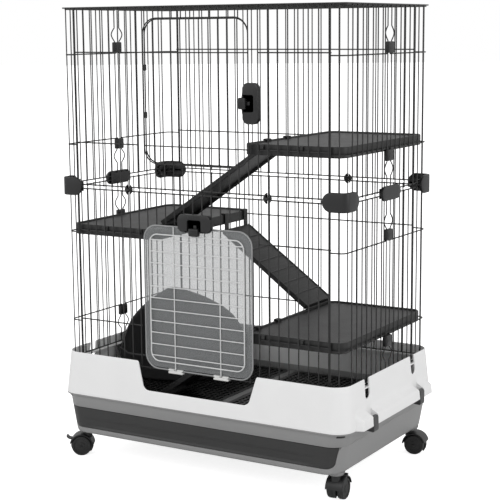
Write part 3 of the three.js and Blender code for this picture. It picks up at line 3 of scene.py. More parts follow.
import bmesh
import bpy
import numpy as np
from mathutils import Matrix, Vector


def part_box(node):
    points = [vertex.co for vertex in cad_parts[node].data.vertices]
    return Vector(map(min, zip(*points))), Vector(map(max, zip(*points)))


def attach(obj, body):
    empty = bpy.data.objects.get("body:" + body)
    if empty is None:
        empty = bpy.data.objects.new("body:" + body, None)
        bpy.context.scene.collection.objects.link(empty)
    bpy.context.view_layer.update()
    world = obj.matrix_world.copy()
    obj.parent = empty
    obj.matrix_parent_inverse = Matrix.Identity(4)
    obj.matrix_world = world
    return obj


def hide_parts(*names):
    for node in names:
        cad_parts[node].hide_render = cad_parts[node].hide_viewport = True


# A rolling ferret cage of black coated wire on a moulded base with a drawer, dressed round its
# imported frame. All sizes here are millimetres in the frame's own axes: X to the right along the
# front, Y from the front to the back, +Z up. build() turns them into metres. Only the lamps and the
# camera are placed in metres.
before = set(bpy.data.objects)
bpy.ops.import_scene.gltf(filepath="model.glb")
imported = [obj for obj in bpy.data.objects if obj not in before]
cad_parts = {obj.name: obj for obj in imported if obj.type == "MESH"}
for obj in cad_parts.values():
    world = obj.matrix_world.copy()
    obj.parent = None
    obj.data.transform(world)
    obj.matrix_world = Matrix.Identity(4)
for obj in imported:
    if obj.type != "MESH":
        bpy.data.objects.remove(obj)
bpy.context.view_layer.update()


def box_mm(node):
    """Lowest and highest corner of a frame node, in millimetres."""
    low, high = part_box(node)
    return np.array(low) * 1000, np.array(high) * 1000


# ---------- Sizes ----------
PITCH = 25.4  # between upright wires
WIRE = 1.45  # radius of an upright wire
RAIL = 1.6  # radius of a cross wire
RAIL_IN = 2.5  # the cross wires lie this far inside the uprights
RAIL_STUB = 4.5  # a front cross wire runs this far past its last upright
UPRIGHT_STUB = 2.5  # an upright runs this far past its lowest and its highest cross wire
FRONT = 223  # |Y| of the front and back uprights
SIDE = 382  # |X| of the side uprights
BEND = 16
END_WIRE = 342.9  # |X| of a front panel's last upright
FLANGE = (346.0, 368.3)  # |X| of a corner panel's uprights on the front and the back
SEAM = 10  # |Y| of the end uprights of the two half sides
INNER_DROP = 6
LOWER_RAILS = (252, 354, 576, 678)
UPPER_RAILS = (688, 790, 1006, 1108)
JOINT = 683  # middle height of the clips between the sections
ROOF = 1111  # height of the top panel's wires
DOOR_HALF = 139.7
UPPER_OPENING = (750, 1082)
LOWER_OPENING = (263, 599.9)
DOOR_CORNER = 34
DOOR_BACK = -225.3  # Y of the back face of a closed door
DOOR_OVERLAP = 2.3  # of the upper door over its opening
DOOR_EYES = (861, 971)  # middle heights of its two eyes
DOOR_UPRIGHT = 2.5 * PITCH  # |X| of the lower door's two uprights

SKIRT_LOW, SKIRT_TOP = 166, 271
SKIRT_HALF = (398.5, 249)
SKIRT_LEAN = 9
SKIRT_WALL = 3.5
SKIRT_CORNER = 44
DIP_TOP, DIP_BOTTOM, DIP_FLOOR, DIP_CORNER = 168, 152, 202, 20
SLOT_AT, SLOT_HALF, SLOT_DEPTH = 130, 12, 46
GRIP_OUT, GRIP_HALF = 18, 200
GRIP_TOP = (187, 201)  # heights between which a grip eases back to the wall
GRIP_NOTCH = 12.9  # half the width of its notch for a clasp
PIN_X, PIN_Z = 411.5, 181  # of the clasps' pins
LEDGE = (247.3, 250.3)  # heights of its underside and its top
LEDGE_HALF = (370, 212)  # of the ledge's inner edge
LEDGE_CORNER = 8

BASE_LOW, BASE_TOP = 66, 165.7
RIM_HALF = (391, 244)
BASE_SCALE = (372 / 391, 243 / 244)  # of the base's bottom against its rim
BASE_CORNER = 42
BASE_WALL = 3.5
DRAWER_LOW, DRAWER_TOP = 82, 133
DRAWER_HALF = 374
DRAWER_NARROW = 8
DRAWER_CORNER = 24
DRAWER_GAP = 0.6
DRAWER_THICK = 6
DRAWER_RECESS = 2.6  # depth of the finger recess in its front
RECESS_END, RECESS_LOW, RECESS_TOP = (318, 334), (84, 88), (104, 110)  # its edges, start and end of each
TRAY_HALF, TRAY_FRONT, TRAY_BACK = 342, -240, 235.5
SEAT = (151.7, 155.7)  # heights of the seat under the grates
RUNNER_AT = 300  # |X| of the runners under the drawer
FLOOR = 161  # height of the grates' top
CASTERS = {"front_left": (-352, -204, 120), "front_right": (352, -204, 5),
           "back_left": (-352, 204, 215), "back_right": (352, 204, -80)}
SHELVES = {"shelf_left": (-1, 589), "shelf_top_right": (1, 803), "shelf_lower_right": (1, 367)}
SHELF_NEAR, SHELF_FAR, SHELF_Y = 119, 375, 216
RAMPS = {  # start x and z, end x and z, middle y, height of the rim that its hooks go over
    "ramp_upper": (118.2, 790, -171, 594, -60, 803),
    "ramp_middle": (-118.2, 551, 125, 377, 142, 589),
    "ramp_lower": (118.2, 363, -159.8, 171, -110, 367),
}
RAMP_HALF = 65
RAMP_LIFT = 10  # height of a ramp's lower end over what its foot stands on
SIDES = {"left": -1, "right": 1}
CORNERS = {"front_left": (-1, -1), "front_right": (1, -1), "back_left": (-1, 1), "back_right": (1, 1)}


# ---------- Mesh making ----------
def loft(rings, caps=True, ring_closed=False):
    """A skin over rows of points, rings[i, j], each row closed on itself. The last row joins the
    first when ring_closed is set, otherwise flat faces close both ends where caps is set."""
    rings = np.asarray(rings, float)
    rows, count = rings.shape[:2]
    i = np.arange(rows if ring_closed else rows - 1)[:, None]
    j = np.arange(count)[None, :]
    i2, j2 = (i + 1) % rows, (j + 1) % count
    quads = np.stack([i * count + j, i * count + j2, i2 * count + j2, i2 * count + j], -1)
    faces = quads.reshape(-1, 4).tolist()
    if caps and not ring_closed:
        faces.append(list(range(count))[::-1])
        faces.append(list(range((rows - 1) * count, rows * count)))
    return rings.reshape(-1, 3), faces


def merged(*parts):
    """Several (points, faces) pairs as one."""
    points, faces, start = [], [], 0
    for part_points, part_faces in parts:
        points.append(part_points)
        faces.extend([[start + corner for corner in face] for face in part_faces])
        start += len(part_points)
    return np.concatenate(points), faces


def moved(part, matrix=None, by=(0, 0, 0)):
    """A part turned by a 3 x 3 matrix and then shifted."""
    points, faces = part
    if matrix is not None:
        points = points @ np.asarray(matrix).T
    return points + np.asarray(by, float), faces


def turn_z(degrees):
    """The matrix that turns about the upright axis."""
    c, s = math.cos(math.radians(degrees)), math.sin(math.radians(degrees))
    return np.array([[c, -s, 0], [s, c, 0], [0, 0, 1]])


def turn_y(degrees):
    """The matrix that turns about Y, so that positive angles tip +X down."""
    c, s = math.cos(math.radians(degrees)), math.sin(math.radians(degrees))
    return np.array([[c, 0, s], [0, 1, 0], [-s, 0, c]])


def rods(starts, ends, radius, sides=10):
    """Straight round wires between pairs of points. Each is rings of radius r round its axis, drawn
    in to half of r over the last half radius at both ends."""
    starts, ends = np.atleast_2d(np.asarray(starts, float)), np.atleast_2d(np.asarray(ends, float))
    axis = ends - starts
    length = np.linalg.norm(axis, axis=1, keepdims=True)
    axis = axis / length
    helper = np.where(np.abs(axis[:, 2:3]) > 0.9, [[1.0, 0, 0]], [[0, 0, 1.0]])
    across = np.cross(axis, helper)
    across /= np.linalg.norm(across, axis=1, keepdims=True)
    up = np.cross(axis, across)
    angle = np.arange(sides) / sides * 2 * np.pi
    ring = across[:, None] * np.cos(angle)[None, :, None] + up[:, None] * np.sin(angle)[None, :, None]
    soft = 0.5 * radius
    along = np.concatenate([0 * length, 0 * length + soft, length - soft, length], 1)
    factor = np.array([0.5, 1, 1, 0.5]) * radius
    points = (starts[:, None, None] + axis[:, None, None] * along[:, :, None, None]
              + ring[:, None] * factor[None, :, None, None])
    _, faces = loft(points[0])
    block = 4 * sides
    every = []
    for index in range(len(starts)):
        every.extend([[index * block + corner for corner in face] for face in faces])
    return points.reshape(-1, 3), every


def bent(path, normal, radius, closed=False, sides=10):
    """A round wire along a path in a plane: a circle of the radius, square to the path's direction,
    spanned by the plane's normal and by the normal crossed with the direction."""
    path = np.asarray(path, float)
    ahead = np.roll(path, -1, 0) - np.roll(path, 1, 0)
    if not closed:
        ahead[0], ahead[-1] = path[1] - path[0], path[-1] - path[-2]
    ahead /= np.linalg.norm(ahead, axis=1, keepdims=True)
    normal = np.asarray(normal, float)
    across = np.cross(normal, ahead)
    angle = np.arange(sides) / sides * 2 * np.pi
    ring = across[:, None] * np.cos(angle)[None, :, None] + normal * np.sin(angle)[None, :, None]
    return loft(path[:, None] + ring * radius, ring_closed=closed)


def arc(centre, radius, start, end, steps):
    """Points on a circle in a plane from one angle to another, in degrees."""
    angle = np.radians(np.linspace(start, end, steps + 1))
    return np.stack([centre[0] + radius * np.cos(angle), centre[1] + radius * np.sin(angle)], 1)


def round_rectangle(x1, y1, x2, y2, radius, steps=6):
    """A rectangle's outline with quarter circles for corners, anticlockwise from below right."""
    r = radius
    return np.concatenate([
        arc((x2 - r, y1 + r), r, -90, 0, steps),
        arc((x2 - r, y2 - r), r, 0, 90, steps),
        arc((x1 + r, y2 - r), r, 90, 180, steps),
        arc((x1 + r, y1 + r), r, 180, 270, steps),
    ])


def raised(outline, height):
    """A flat outline at a height, or with a height for each of its points."""
    return np.column_stack([outline, np.full(len(outline), height)])


def standing(outline, y):
    """An outline of (x, z) points, upright in the plane at y."""
    return np.insert(outline, 1, y, axis=1)


def wire_loop(half, low, high, corner, y, radius):
    """A rounded rectangle of round wire, upright in the plane at y."""
    outline = round_rectangle(-half, low, half, high, corner, 8)
    return bent(standing(outline, y), (0, 1, 0), radius, closed=True)


def pillow(low, high, corner, edge, steps=5):
    """A block with round upright corners and round edges: its outline is drawn in by edge at the
    bottom, follows a quarter circle out, rises straight, and is drawn in again at the top."""
    (x1, y1, z1), (x2, y2, z2) = low, high
    edge = min(edge, (z2 - z1) / 2 - 0.01)
    corner = max(min(corner, (x2 - x1) / 2 - 0.01, (y2 - y1) / 2 - 0.01), edge + 0.01)
    angle = np.linspace(0, np.pi / 2, 4)
    inset = np.concatenate([edge * (1 - np.sin(angle)), edge * (1 - np.sin(angle[::-1]))])
    height = np.concatenate([z1 + edge * (1 - np.cos(angle)), z2 - edge * (1 - np.cos(angle[::-1]))])
    rings = []
    for d, z in zip(inset, height):
        outline = round_rectangle(x1 + d, y1 + d, x2 - d, y2 - d, corner - d, steps)
        rings.append(raised(outline, z))
    return loft(rings)


def stood(part):
    """A part turned up about X by 90 degrees: its +Y becomes up and its +Z the cage's front."""
    points, faces = part
    return points[:, [0, 2, 1]] * (1, -1, 1), faces


def lathe(profile, axis_point, axis="x", steps=28, start=0, end=360):
    """A profile of (radius, along) points turned round an axis through a point. A full turn closes
    on itself; part of a turn is closed by flat ends."""
    profile = np.asarray(profile, float)
    full = end - start == 360
    angle = np.radians(np.linspace(start, end, steps + (0 if full else 1), endpoint=not full))
    radius, along = profile[:, 0], profile[:, 1]
    a = np.cos(angle)[:, None] * radius
    b = np.sin(angle)[:, None] * radius
    c = np.broadcast_to(along, a.shape)
    order = {"x": (c, a, b), "z": (a, b, c)}[axis]
    points = np.stack(order, -1) + np.asarray(axis_point, float)
    return loft(points, ring_closed=full)


def build(name, part, material, body="cage", replaced=(), sharp=32):
    """Makes the piece in metres with its faces turned outwards, smooth but for edges sharper than
    the given angle, and tells the frame what it rides on and stands for."""
    points, faces = part
    mesh = bpy.data.meshes.new(name)
    mesh.from_pydata((points / 1000).tolist(), [], faces)
    work = bmesh.new()
    work.from_mesh(mesh)
    bmesh.ops.remove_doubles(work, verts=work.verts, dist=1e-6)
    bmesh.ops.dissolve_degenerate(work, edges=work.edges, dist=1e-7)
    bmesh.ops.recalc_face_normals(work, faces=work.faces)
    work.to_mesh(mesh)
    work.free()
    mesh.shade_smooth()
    mesh.set_sharp_from_angle(angle=math.radians(sharp))
    mesh.materials.append(material)
    piece = bpy.data.objects.new(name, mesh)
    bpy.context.scene.collection.objects.link(piece)
    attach(piece, body)
    if replaced:
        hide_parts(*replaced)
    return piece


# ---------- Finishes ----------
def linear(hex_colour):
    """An sRGB hex colour as linear RGBA."""
    values = [int(hex_colour[i:i + 2], 16) / 255 for i in (0, 2, 4)]
    return tuple(v / 12.92 if v <= 0.04045 else ((v + 0.055) / 1.055) ** 2.4 for v in values) + (1,)


def node(tree, kind, links=(), **settings):
    """Adds a node. Settings whose names are inputs go to those sockets, and the rest are properties.
    Each link is (from socket, name of the input)."""
    made = tree.nodes.new(kind)
    for key, value in settings.items():
        socket = key.replace("_", " ")
        if socket in made.inputs:
            made.inputs[socket].default_value = value
        else:
            setattr(made, key, value)
    for source, target in links:
        tree.links.new(source, made.inputs[target])
    return made


def grained(name, colour, worn, roughness, grain, bump, metallic=0.0, coat=0.0, alpha=1.0):
    """A plastic or coating: its colour drifts a little to the worn one over about 60 mm, its gloss
    varies with the same drift, and a fine noise of the grain's size in mm gives the moulded skin."""
    material = bpy.data.materials.new(name)
    material.use_nodes = True
    tree = material.node_tree
    shader = tree.nodes["Principled BSDF"]
    place = node(tree, "ShaderNodeTexCoord").outputs["Object"]
    drift = node(tree, "ShaderNodeTexNoise", [(place, "Vector")], Scale=1000 / 60, Detail=3.0)
    tint = node(tree, "ShaderNodeMix", [(drift.outputs["Fac"], "Factor")], data_type="RGBA")
    tint.inputs[6].default_value = linear(colour)
    tint.inputs[7].default_value = linear(worn)
    tree.links.new(tint.outputs[2], shader.inputs["Base Color"])
    gloss = node(tree, "ShaderNodeMapRange", [(drift.outputs["Fac"], "Value")],
                 To_Min=roughness - 0.05, To_Max=roughness + 0.07)
    tree.links.new(gloss.outputs["Result"], shader.inputs["Roughness"])
    fine = node(tree, "ShaderNodeTexNoise", [(place, "Vector")], Scale=1000 / grain, Detail=2.0)
    skin = node(tree, "ShaderNodeBump", [(fine.outputs["Fac"], "Height")],
                Strength=bump, Distance=0.0004)
    tree.links.new(skin.outputs["Normal"], shader.inputs["Normal"])
    shader.inputs["IOR"].default_value = 1.5
    shader.inputs["Metallic"].default_value = metallic
    shader.inputs["Coat Weight"].default_value = coat
    shader.inputs["Coat Roughness"].default_value = 0.25
    if alpha < 1:
        shader.inputs["Alpha"].default_value = alpha
    return material


def dimpled(name, colour, worn, roughness, spacing, depth):
    """Polypropylene with a moulded grip pattern: rows of small round dimples at the given spacing in
    mm, laid out as cells of a regular grid, over the same fine grain."""
    material = grained(name, colour, worn, roughness, 1.2, 0.3)
    tree = material.node_tree
    place = node(tree, "ShaderNodeTexCoord").outputs["Object"]
    cells = node(tree, "ShaderNodeTexVoronoi", [(place, "Vector")], feature="F1",
                 Scale=1000 / spacing, Randomness=0.0)
    dots = node(tree, "ShaderNodeMapRange", [(cells.outputs["Distance"], "Value")],
                From_Min=0.2, From_Max=0.45, To_Min=0.0, To_Max=1.0)
    shader = tree.nodes["Principled BSDF"]
    grain = shader.inputs["Normal"].links[0].from_socket
    bump = node(tree, "ShaderNodeBump", [(dots.outputs["Result"], "Height"), (grain, "Normal")],
                Strength=0.6, Distance=depth / 1000)
    tree.links.new(bump.outputs["Normal"], shader.inputs["Normal"])
    return material


# Steel wire under a black powder coat: satin, with the coat's slight orange peel of 2 mm.
BLACK_WIRE = grained("black_powder_coated_wire", "0d0d0d", "151515", 0.42, 2.0, 0.25, coat=0.15)
# The lower door's wire under a pale grey powder coat.
OUTER_WIRE = grained("grey_powder_coated_wire", "8f9091", "9c9d9d", 0.4, 2.0, 0.25, metallic=0.2)
LIGHT_WIRE = grained("pale_powder_coated_wire", "cfd0d0", "dcdcdc", 0.4, 2.0, 0.25, metallic=0.1)
# Injection-moulded polypropylene: satin, with a moulded skin of under 1 mm, drawn at 1.4 mm.
WHITE_PLASTIC = grained("white_moulded_polypropylene", "e6e6e6", "ebebeb", 0.42, 1.4, 0.12)
GREY_PLASTIC = grained("grey_moulded_polypropylene", "858585", "8e8e8e", 0.42, 1.4, 0.15)
DRAWER_PLASTIC = grained("dark_moulded_polypropylene", "272727", "2d2d2d", 0.4, 1.4, 0.15)
PAN_PLASTIC = grained("litter_pan_polypropylene", "2a2a2b", "323233", 0.4, 1.4, 0.15)
CLIP_BLACK = grained("black_moulded_nylon", "111112", "19191a", 0.4, 1.2, 0.2)
CLASP_PLASTIC = grained("dark_grey_moulded_nylon", "2f2f30", "39393a", 0.38, 1.2, 0.2)
LATCH_PLASTIC = grained("black_moulded_latch", "131314", "1b1b1c", 0.34, 1.2, 0.2)
CLIP_PALE = grained("pale_moulded_nylon", "d2d2d1", "dcdcda", 0.4, 1.2, 0.15)
SHELF_PLASTIC = dimpled("black_textured_polypropylene", "191919", "202020", 0.46, 7.0, 0.5)
SHELF_RIM = grained("black_moulded_polypropylene", "131313", "1a1a1a", 0.42, 1.4, 0.2)
GRATE_PLASTIC = grained("black_glossy_polypropylene", "151515", "1f1f1f", 0.28, 1.4, 0.15)
RUBBER = grained("black_wheel_polyurethane", "161616", "202020", 0.5, 1.6, 0.3)
SHEET_PLASTIC = grained("clear_smoke_acrylic", "868889", "8d8f90", 0.2, 9.0, 0.02, alpha=0.46)


# ---------- Wire panels ----------
def upright_rods(xs, ys, low, high):
    """Upright wires of one height at a list of places."""
    xs, ys = np.broadcast_arrays(np.asarray(xs, float), np.asarray(ys, float))
    low = np.broadcast_to(np.asarray(low, float), xs.shape)
    high = np.broadcast_to(np.asarray(high, float), xs.shape)
    return rods(np.stack([xs, ys, low], 1), np.stack([xs, ys, high], 1), WIRE)


def flat_panel(rails, side, opening=None):
    """A front (side -1) or back (side 1) panel: uprights at the pitch, cross wires just inside, and
    an edge wire round the door's opening where there is one."""
    bottom, top = rails[0] - UPRIGHT_STUB, rails[-1] + UPRIGHT_STUB
    x = np.arange(-13.5, 14) * PITCH
    parts = []
    y = side * FRONT
    inside = side * (FRONT - RAIL_IN)
    if opening is None:
        parts.append(upright_rods(x, y, bottom, top))
    else:
        within = np.abs(x) < DOOR_HALF - PITCH / 2
        parts.append(upright_rods(x[~within], y, bottom, top))
        parts.append(upright_rods(x[within], y, bottom, opening[0]))
        parts.append(upright_rods(x[within], y, opening[1], top))
        parts.append(wire_loop(DOOR_HALF, *opening, DOOR_CORNER, -FRONT, RAIL))
    end = END_WIRE + RAIL_STUB
    for z in rails:
        if opening and opening[0] < z < opening[1]:
            reach = DOOR_HALF + PITCH - WIRE - 1
            spans = [(-end, -reach), (reach, end)]
        else:
            spans = [(-end, end)]
        for start, stop in spans:
            parts.append(rods([(start, inside, z)], [(stop, inside, z)], RAIL))
    return merged(*parts)


def bulged_seam(x, y, way, rails):
    """The wire beside a side's middle. Past each sleeve it swells away from the middle over 33 mm of
    height, by 13 (1 - |2 t - 1|^1.6) mm as t goes from 0 to 1."""
    reach, height, sleeve = 13, 33, 27
    z = np.linspace(rails[0] - UPRIGHT_STUB, rails[-1] + UPRIGHT_STUB, 180)
    out = np.zeros_like(z)
    for start in (rails[1] - INNER_DROP - sleeve - 3 - height, rails[2] - INNER_DROP + sleeve + 3):
        share = np.clip((z - start) / height, 0, 1)
        out += reach * (1 - np.abs(2 * share - 1) ** 1.6) * (share > 0) * (share < 1)
    path = np.stack([np.full_like(z, x), y + way * out, z], 1)
    return bent(path, (1, 0, 0), WIRE, sides=8)


def corner_panel(rails, sign_x, sign_y):
    """Half of a side with its part of the front or the back, bent round the corner."""
    bottom, top = rails[0] - UPRIGHT_STUB, rails[-1] + UPRIGHT_STUB
    side_y = np.arange(1, 9) * PITCH + SEAM
    parts = [
        upright_rods(sign_x * SIDE, sign_y * side_y[side_y < FRONT - 10], bottom, top),
        upright_rods(sign_x * np.array(FLANGE), sign_y * FRONT, bottom, top),
        bulged_seam(sign_x * SIDE, sign_y * SEAM, sign_y, rails),
    ]
    inner_x, inner_y = SIDE - RAIL_IN, FRONT - RAIL_IN
    bend = arc((inner_x - BEND, inner_y - BEND), BEND, 90, 0, 8)
    course = np.concatenate([[(FLANGE[0] - 2, inner_y)], bend, [(inner_x, SEAM - 2)]])
    for index, z in enumerate(rails):
        drop = INNER_DROP if index in (1, 2) else 0
        parts.append(bent(raised(course * (sign_x, sign_y), z - drop), (0, 0, 1), RAIL))
    return merged(*parts)


SECTIONS = (("lower", LOWER_RAILS, LOWER_OPENING), ("upper", UPPER_RAILS, UPPER_OPENING))
for level, rails, opening in SECTIONS:
    for side, sign, gap in (("front", -1, opening), ("back", 1, None)):
        panel = f"{level}_{side}_panel"
        build(f"wire_{panel}", flat_panel(rails, sign, gap), BLACK_WIRE,
              replaced=[panel])
    for place, (sign_x, sign_y) in CORNERS.items():
        panel = f"{level}_corner_{place}"
        build(f"wire_{panel}", corner_panel(rails, sign_x, sign_y), BLACK_WIRE,
              replaced=[panel])


def top_panel():
    """The roof: a frame wire all round, wires from front to back at the pitch, two cross wires."""
    x = np.arange(-14, 15) * PITCH
    front, back = (raised(np.column_stack([x, np.full(len(x), y)]), ROOF) for y in (-FRONT, FRONT))
    loop = raised(round_rectangle(-SIDE, -FRONT, SIDE, FRONT, 10, 4), ROOF)
    parts = [bent(loop, (0, 0, 1), RAIL, closed=True), rods(front, back, WIRE)]
    for y in (-FRONT / 3, FRONT / 3):
        parts.append(rods([(-SIDE, y, ROOF - RAIL_IN)], [(SIDE, y, ROOF - RAIL_IN)], RAIL))
    return merged(*parts)


build("wire_top_panel", top_panel(), BLACK_WIRE, replaced=["top_panel"])


# ---------- Sleeves and clips ----------
CLIP_THICK, CLIP_HALF, CLIP_LEG = 7, 22, 62
CLIP_OUT = (390.8, 231.8)  # |X| and |Y| of the clips' outer faces
CLIP_BEND, CLIP_EDGE = 15, 2.2
CLIP_PLATE, CLIP_WEB = 12, 3  # half heights of a clip's inner plates and of its web
CLIP_INSIDE = 3.8  # the corner clips' inner plates start this far inside the uprights
SIDE_CLIP_LENGTH, SIDE_CLIP_HALF = 98, 17
SIDE_PLATE = 40  # half the length of a side clip's inner plate
SMALL_CLIP_LENGTH, SMALL_CLIP_HALF, SMALL_CLIP_THICK = 20, 14, 6


def strap(path, thick, half_height):
    """A moulded strap along a path on the plan. Its two ends are half circles, and its section is a
    rectangle with round edges, thick across the path."""
    path = np.asarray(path, float)
    step = np.linalg.norm(np.diff(path, axis=0), axis=1)
    along = np.concatenate([[0], np.cumsum(step)])
    ahead = np.gradient(path, along, axis=0)
    ahead /= np.linalg.norm(ahead, axis=1, keepdims=True)
    across = np.stack([ahead[:, 1], -ahead[:, 0]], 1)
    near = np.minimum(along, along[-1] - along)
    share = np.clip(1 - near / half_height, 0, 0.995)
    half = half_height * np.sqrt(1 - share ** 2)
    corner = arc((0, 0), 1, 0, 90, 3)
    rings = []
    for point, side, high in zip(path, across, half):
        soft = min(CLIP_EDGE, high * 0.8, thick / 2.01)
        u = thick / 2 - soft + soft * corner[:, 0]
        v = high - soft + soft * corner[:, 1]
        out = np.concatenate([u, -u[::-1], -u, u[::-1]])
        up = np.concatenate([v, v[::-1], -v, -v[::-1]])
        rings.append(np.column_stack([point[0] + side[0] * out, point[1] + side[1] * out, JOINT + up]))
    return loft(rings)


def round_end(radius):
    """Nine places in a strap's round end, closer together towards its tip, by a cosine."""
    return radius * (1 - np.cos(np.linspace(0.12, np.pi / 2, 9)))


def spread(length, radius):
    """Places along a straight strap with two round ends, measured from its middle."""
    ends = round_end(radius) - length / 2
    return np.concatenate([ends, -ends[::-1]])


def behind(low, high, signs, corner):
    """A clip's inner plate over a rectangle on the plan, which is given for the back right corner."""
    low, high = np.sort([np.multiply(low, signs), np.multiply(high, signs)], axis=0)
    return pillow((*low, JOINT - CLIP_PLATE), (*high, JOINT + CLIP_PLATE), corner, 1.4)


def between(low, high, signs):
    """A clip's web between the two sections' cross wires, over a rectangle given in the same way."""
    low, high = np.sort([np.multiply(low, signs), np.multiply(high, signs)], axis=0)
    return pillow((*low, JOINT - CLIP_WEB), (*high, JOINT + CLIP_WEB), 2, 0.8)


def corner_clip(sign_x, sign_y):
    """A strap round a corner of the tower, its outer plate bent round the corner, with an inner
    plate behind each leg and a web between the two sections' cross wires."""
    out_x, out_y = CLIP_OUT[0] - CLIP_THICK / 2, CLIP_OUT[1] - CLIP_THICK / 2
    leg_x, leg_y = CLIP_OUT[0] - CLIP_LEG, CLIP_OUT[1] - CLIP_LEG
    end = round_end(CLIP_HALF)
    path = np.concatenate([
        np.column_stack([leg_x + end, np.full(len(end), out_y)]),
        arc((out_x - CLIP_BEND, out_y - CLIP_BEND), CLIP_BEND, 90, 0, 8),
        np.column_stack([np.full(len(end), out_x), leg_y + end[::-1]]),
    ])
    signs = (sign_x, sign_y)
    parts = [strap(path * signs, CLIP_THICK, CLIP_HALF)]
    inner_x, inner_y = SIDE - CLIP_INSIDE, FRONT - CLIP_INSIDE
    for low, high in (((leg_x + 4, inner_y - 4), (inner_x - 18, inner_y)),
                      ((inner_x - 4, leg_y + 4), (inner_x, inner_y - 18))):
        parts.append(behind(low, high, signs, 3))
        parts.append(between(low, np.add(high, 6), signs))
    return merged(*parts)


for place, (sign_x, sign_y) in CORNERS.items():
    name = f"corner_clip_{place}"
    build(f"clip_{place}", corner_clip(sign_x, sign_y), CLIP_BLACK, replaced=[name])


def side_clip(sign_x):
    """A straight strap with two round ends on the middle of a side, its inner plate and its web."""
    y = spread(SIDE_CLIP_LENGTH, SIDE_CLIP_HALF)
    x = np.full(len(y), sign_x * (CLIP_OUT[0] - CLIP_THICK / 2))
    return merged(
        strap(np.column_stack([x, y]), CLIP_THICK, SIDE_CLIP_HALF),
        behind((SIDE - 5.8, -SIDE_PLATE), (SIDE - 1.8, SIDE_PLATE), (sign_x, 1), 1.9),
        between((SIDE - 5, -SIDE_PLATE), (SIDE + 6, SIDE_PLATE), (sign_x, 1)),
    )


for side, sign_x in SIDES.items():
    build(f"clip_side_{side}", side_clip(sign_x), CLIP_BLACK, replaced=[f"side_clip_{side}"])


SMALL_CLIP_AT = {"front": (-1, (-190.5, 190.5)), "back": (1, (-163, 163))}
for side, (sign_y, places) in SMALL_CLIP_AT.items():
    for index, x in enumerate(places):
        along = spread(SMALL_CLIP_LENGTH, SMALL_CLIP_LENGTH / 2)
        y = sign_y * (FRONT + 4.4)
        plate = strap(np.column_stack([x + along, np.full(len(along), y)]),
                      SMALL_CLIP_THICK, SMALL_CLIP_HALF)
        hook = pillow((x - 7, y - 8, JOINT - CLIP_WEB), (x + 7, y + 8, JOINT + CLIP_WEB), 3, 1)
        build(f"small_clip_{side}_{index + 1}", merged(plate, hook), CLIP_BLACK)

for side in SIDES:
    for level in ("lower", "upper"):
        for end in ("top", "bottom"):
            name = f"seam_sleeve_{side}_{level}_{end}"
            low, high = box_mm(name)
            body = pillow(low, high, 4.5, 2.5)
            band = pillow(low + (-0.9, 2, 9), high + (0.9, -2, -9), 4, 1.2)
            build(f"sleeve_{side}_{level}_{end}", merged(body, band), CLIP_BLACK, replaced=[name])


# ---------- Upper door ----------
def ring_eye(x, y, z, tall, inner, outer):
    """A short tube round an upright axis: a door's wire eye on the opening's edge wire."""
    profile = [(inner, -tall / 2), (outer - 0.8, -tall / 2), (outer, -tall / 2 + 0.8),
               (outer, tall / 2 - 0.8), (outer - 0.8, tall / 2), (inner, tall / 2)]
    return lathe(profile, (x, y, z), "z", 20)


def upper_door():
    """A rounded loop of wire just outside its opening, uprights across it, two cross wires in front
    and two wire eyes round the opening's left edge wire."""
    low, high = UPPER_OPENING[0] - DOOR_OVERLAP, UPPER_OPENING[1] + DOOR_OVERLAP
    half = DOOR_HALF + DOOR_OVERLAP
    y = DOOR_BACK - 1.5
    x = (np.arange(1, 11) - 5.5) * PITCH
    parts = [wire_loop(half, low, high, DOOR_CORNER + DOOR_OVERLAP, y, 1.5), upright_rods(x, y, low, high)]
    for z in (UPPER_RAILS[1], UPPER_RAILS[2]):
        parts.append(rods([(-half, y - 2.5, z)], [(half, y - 2.5, z)], WIRE))
    for z in DOOR_EYES:
        parts.append(ring_eye(-DOOR_HALF, -FRONT, z, 14, 2.0, 3.9))
        parts.append(pillow((-half - 1.4, y - 1.2, z - 7), (-half + 1.4, -FRONT - 2.2, z + 7), 1.2, 0.6))
    return merged(*parts)


build("wire_upper_door", upper_door(), BLACK_WIRE, "upper_door", ["upper_door"])


# ---------- Door latches ----------
# Both are made as on the upper door: the slide runs along X, and z is across it. The lower one is
# turned so that its slide points up.
LATCH_FRONT = -15
LATCHES = {"upper": (142, 894, 0), "lower": (0, 602.2, -90)}


def latch_case():
    """A rounded frame round the window, drawn as rings from its outer outline, over its front face
    and into the window, with a plate that closes its back and three ribs on its front."""
    outer = (-9, -46, 33, 46, 14)
    window = (-8.2, -18.5, 20, 18.5, 4)

    def ring(frame_sizes, grow, y):
        x1, z1, x2, z2, radius = frame_sizes
        return standing(round_rectangle(x1 - grow, z1 - grow, x2 + grow, z2 + grow, radius + grow), y)

    rings = [
        ring(outer, 0, -4.4), ring(outer, 0, LATCH_FRONT + 3), ring(outer, -0.9, LATCH_FRONT + 0.9),
        ring(outer, -3, LATCH_FRONT), ring(window, 1.2, LATCH_FRONT), ring(window, 0, LATCH_FRONT + 1.2),
        ring(window, 0, -6.2),
    ]
    plate = stood(pillow((-8.5, -45, 4.4), (32.5, 45, 6.2), 13, 0.4))
    ribs = [pillow((24 + 2.6 * i, LATCH_FRONT - 0.5, -16), (25.3 + 2.6 * i, LATCH_FRONT + 1, 16), 0.6, 0.4)
            for i in range(3)]
    return merged(loft(rings), plate, *ribs)


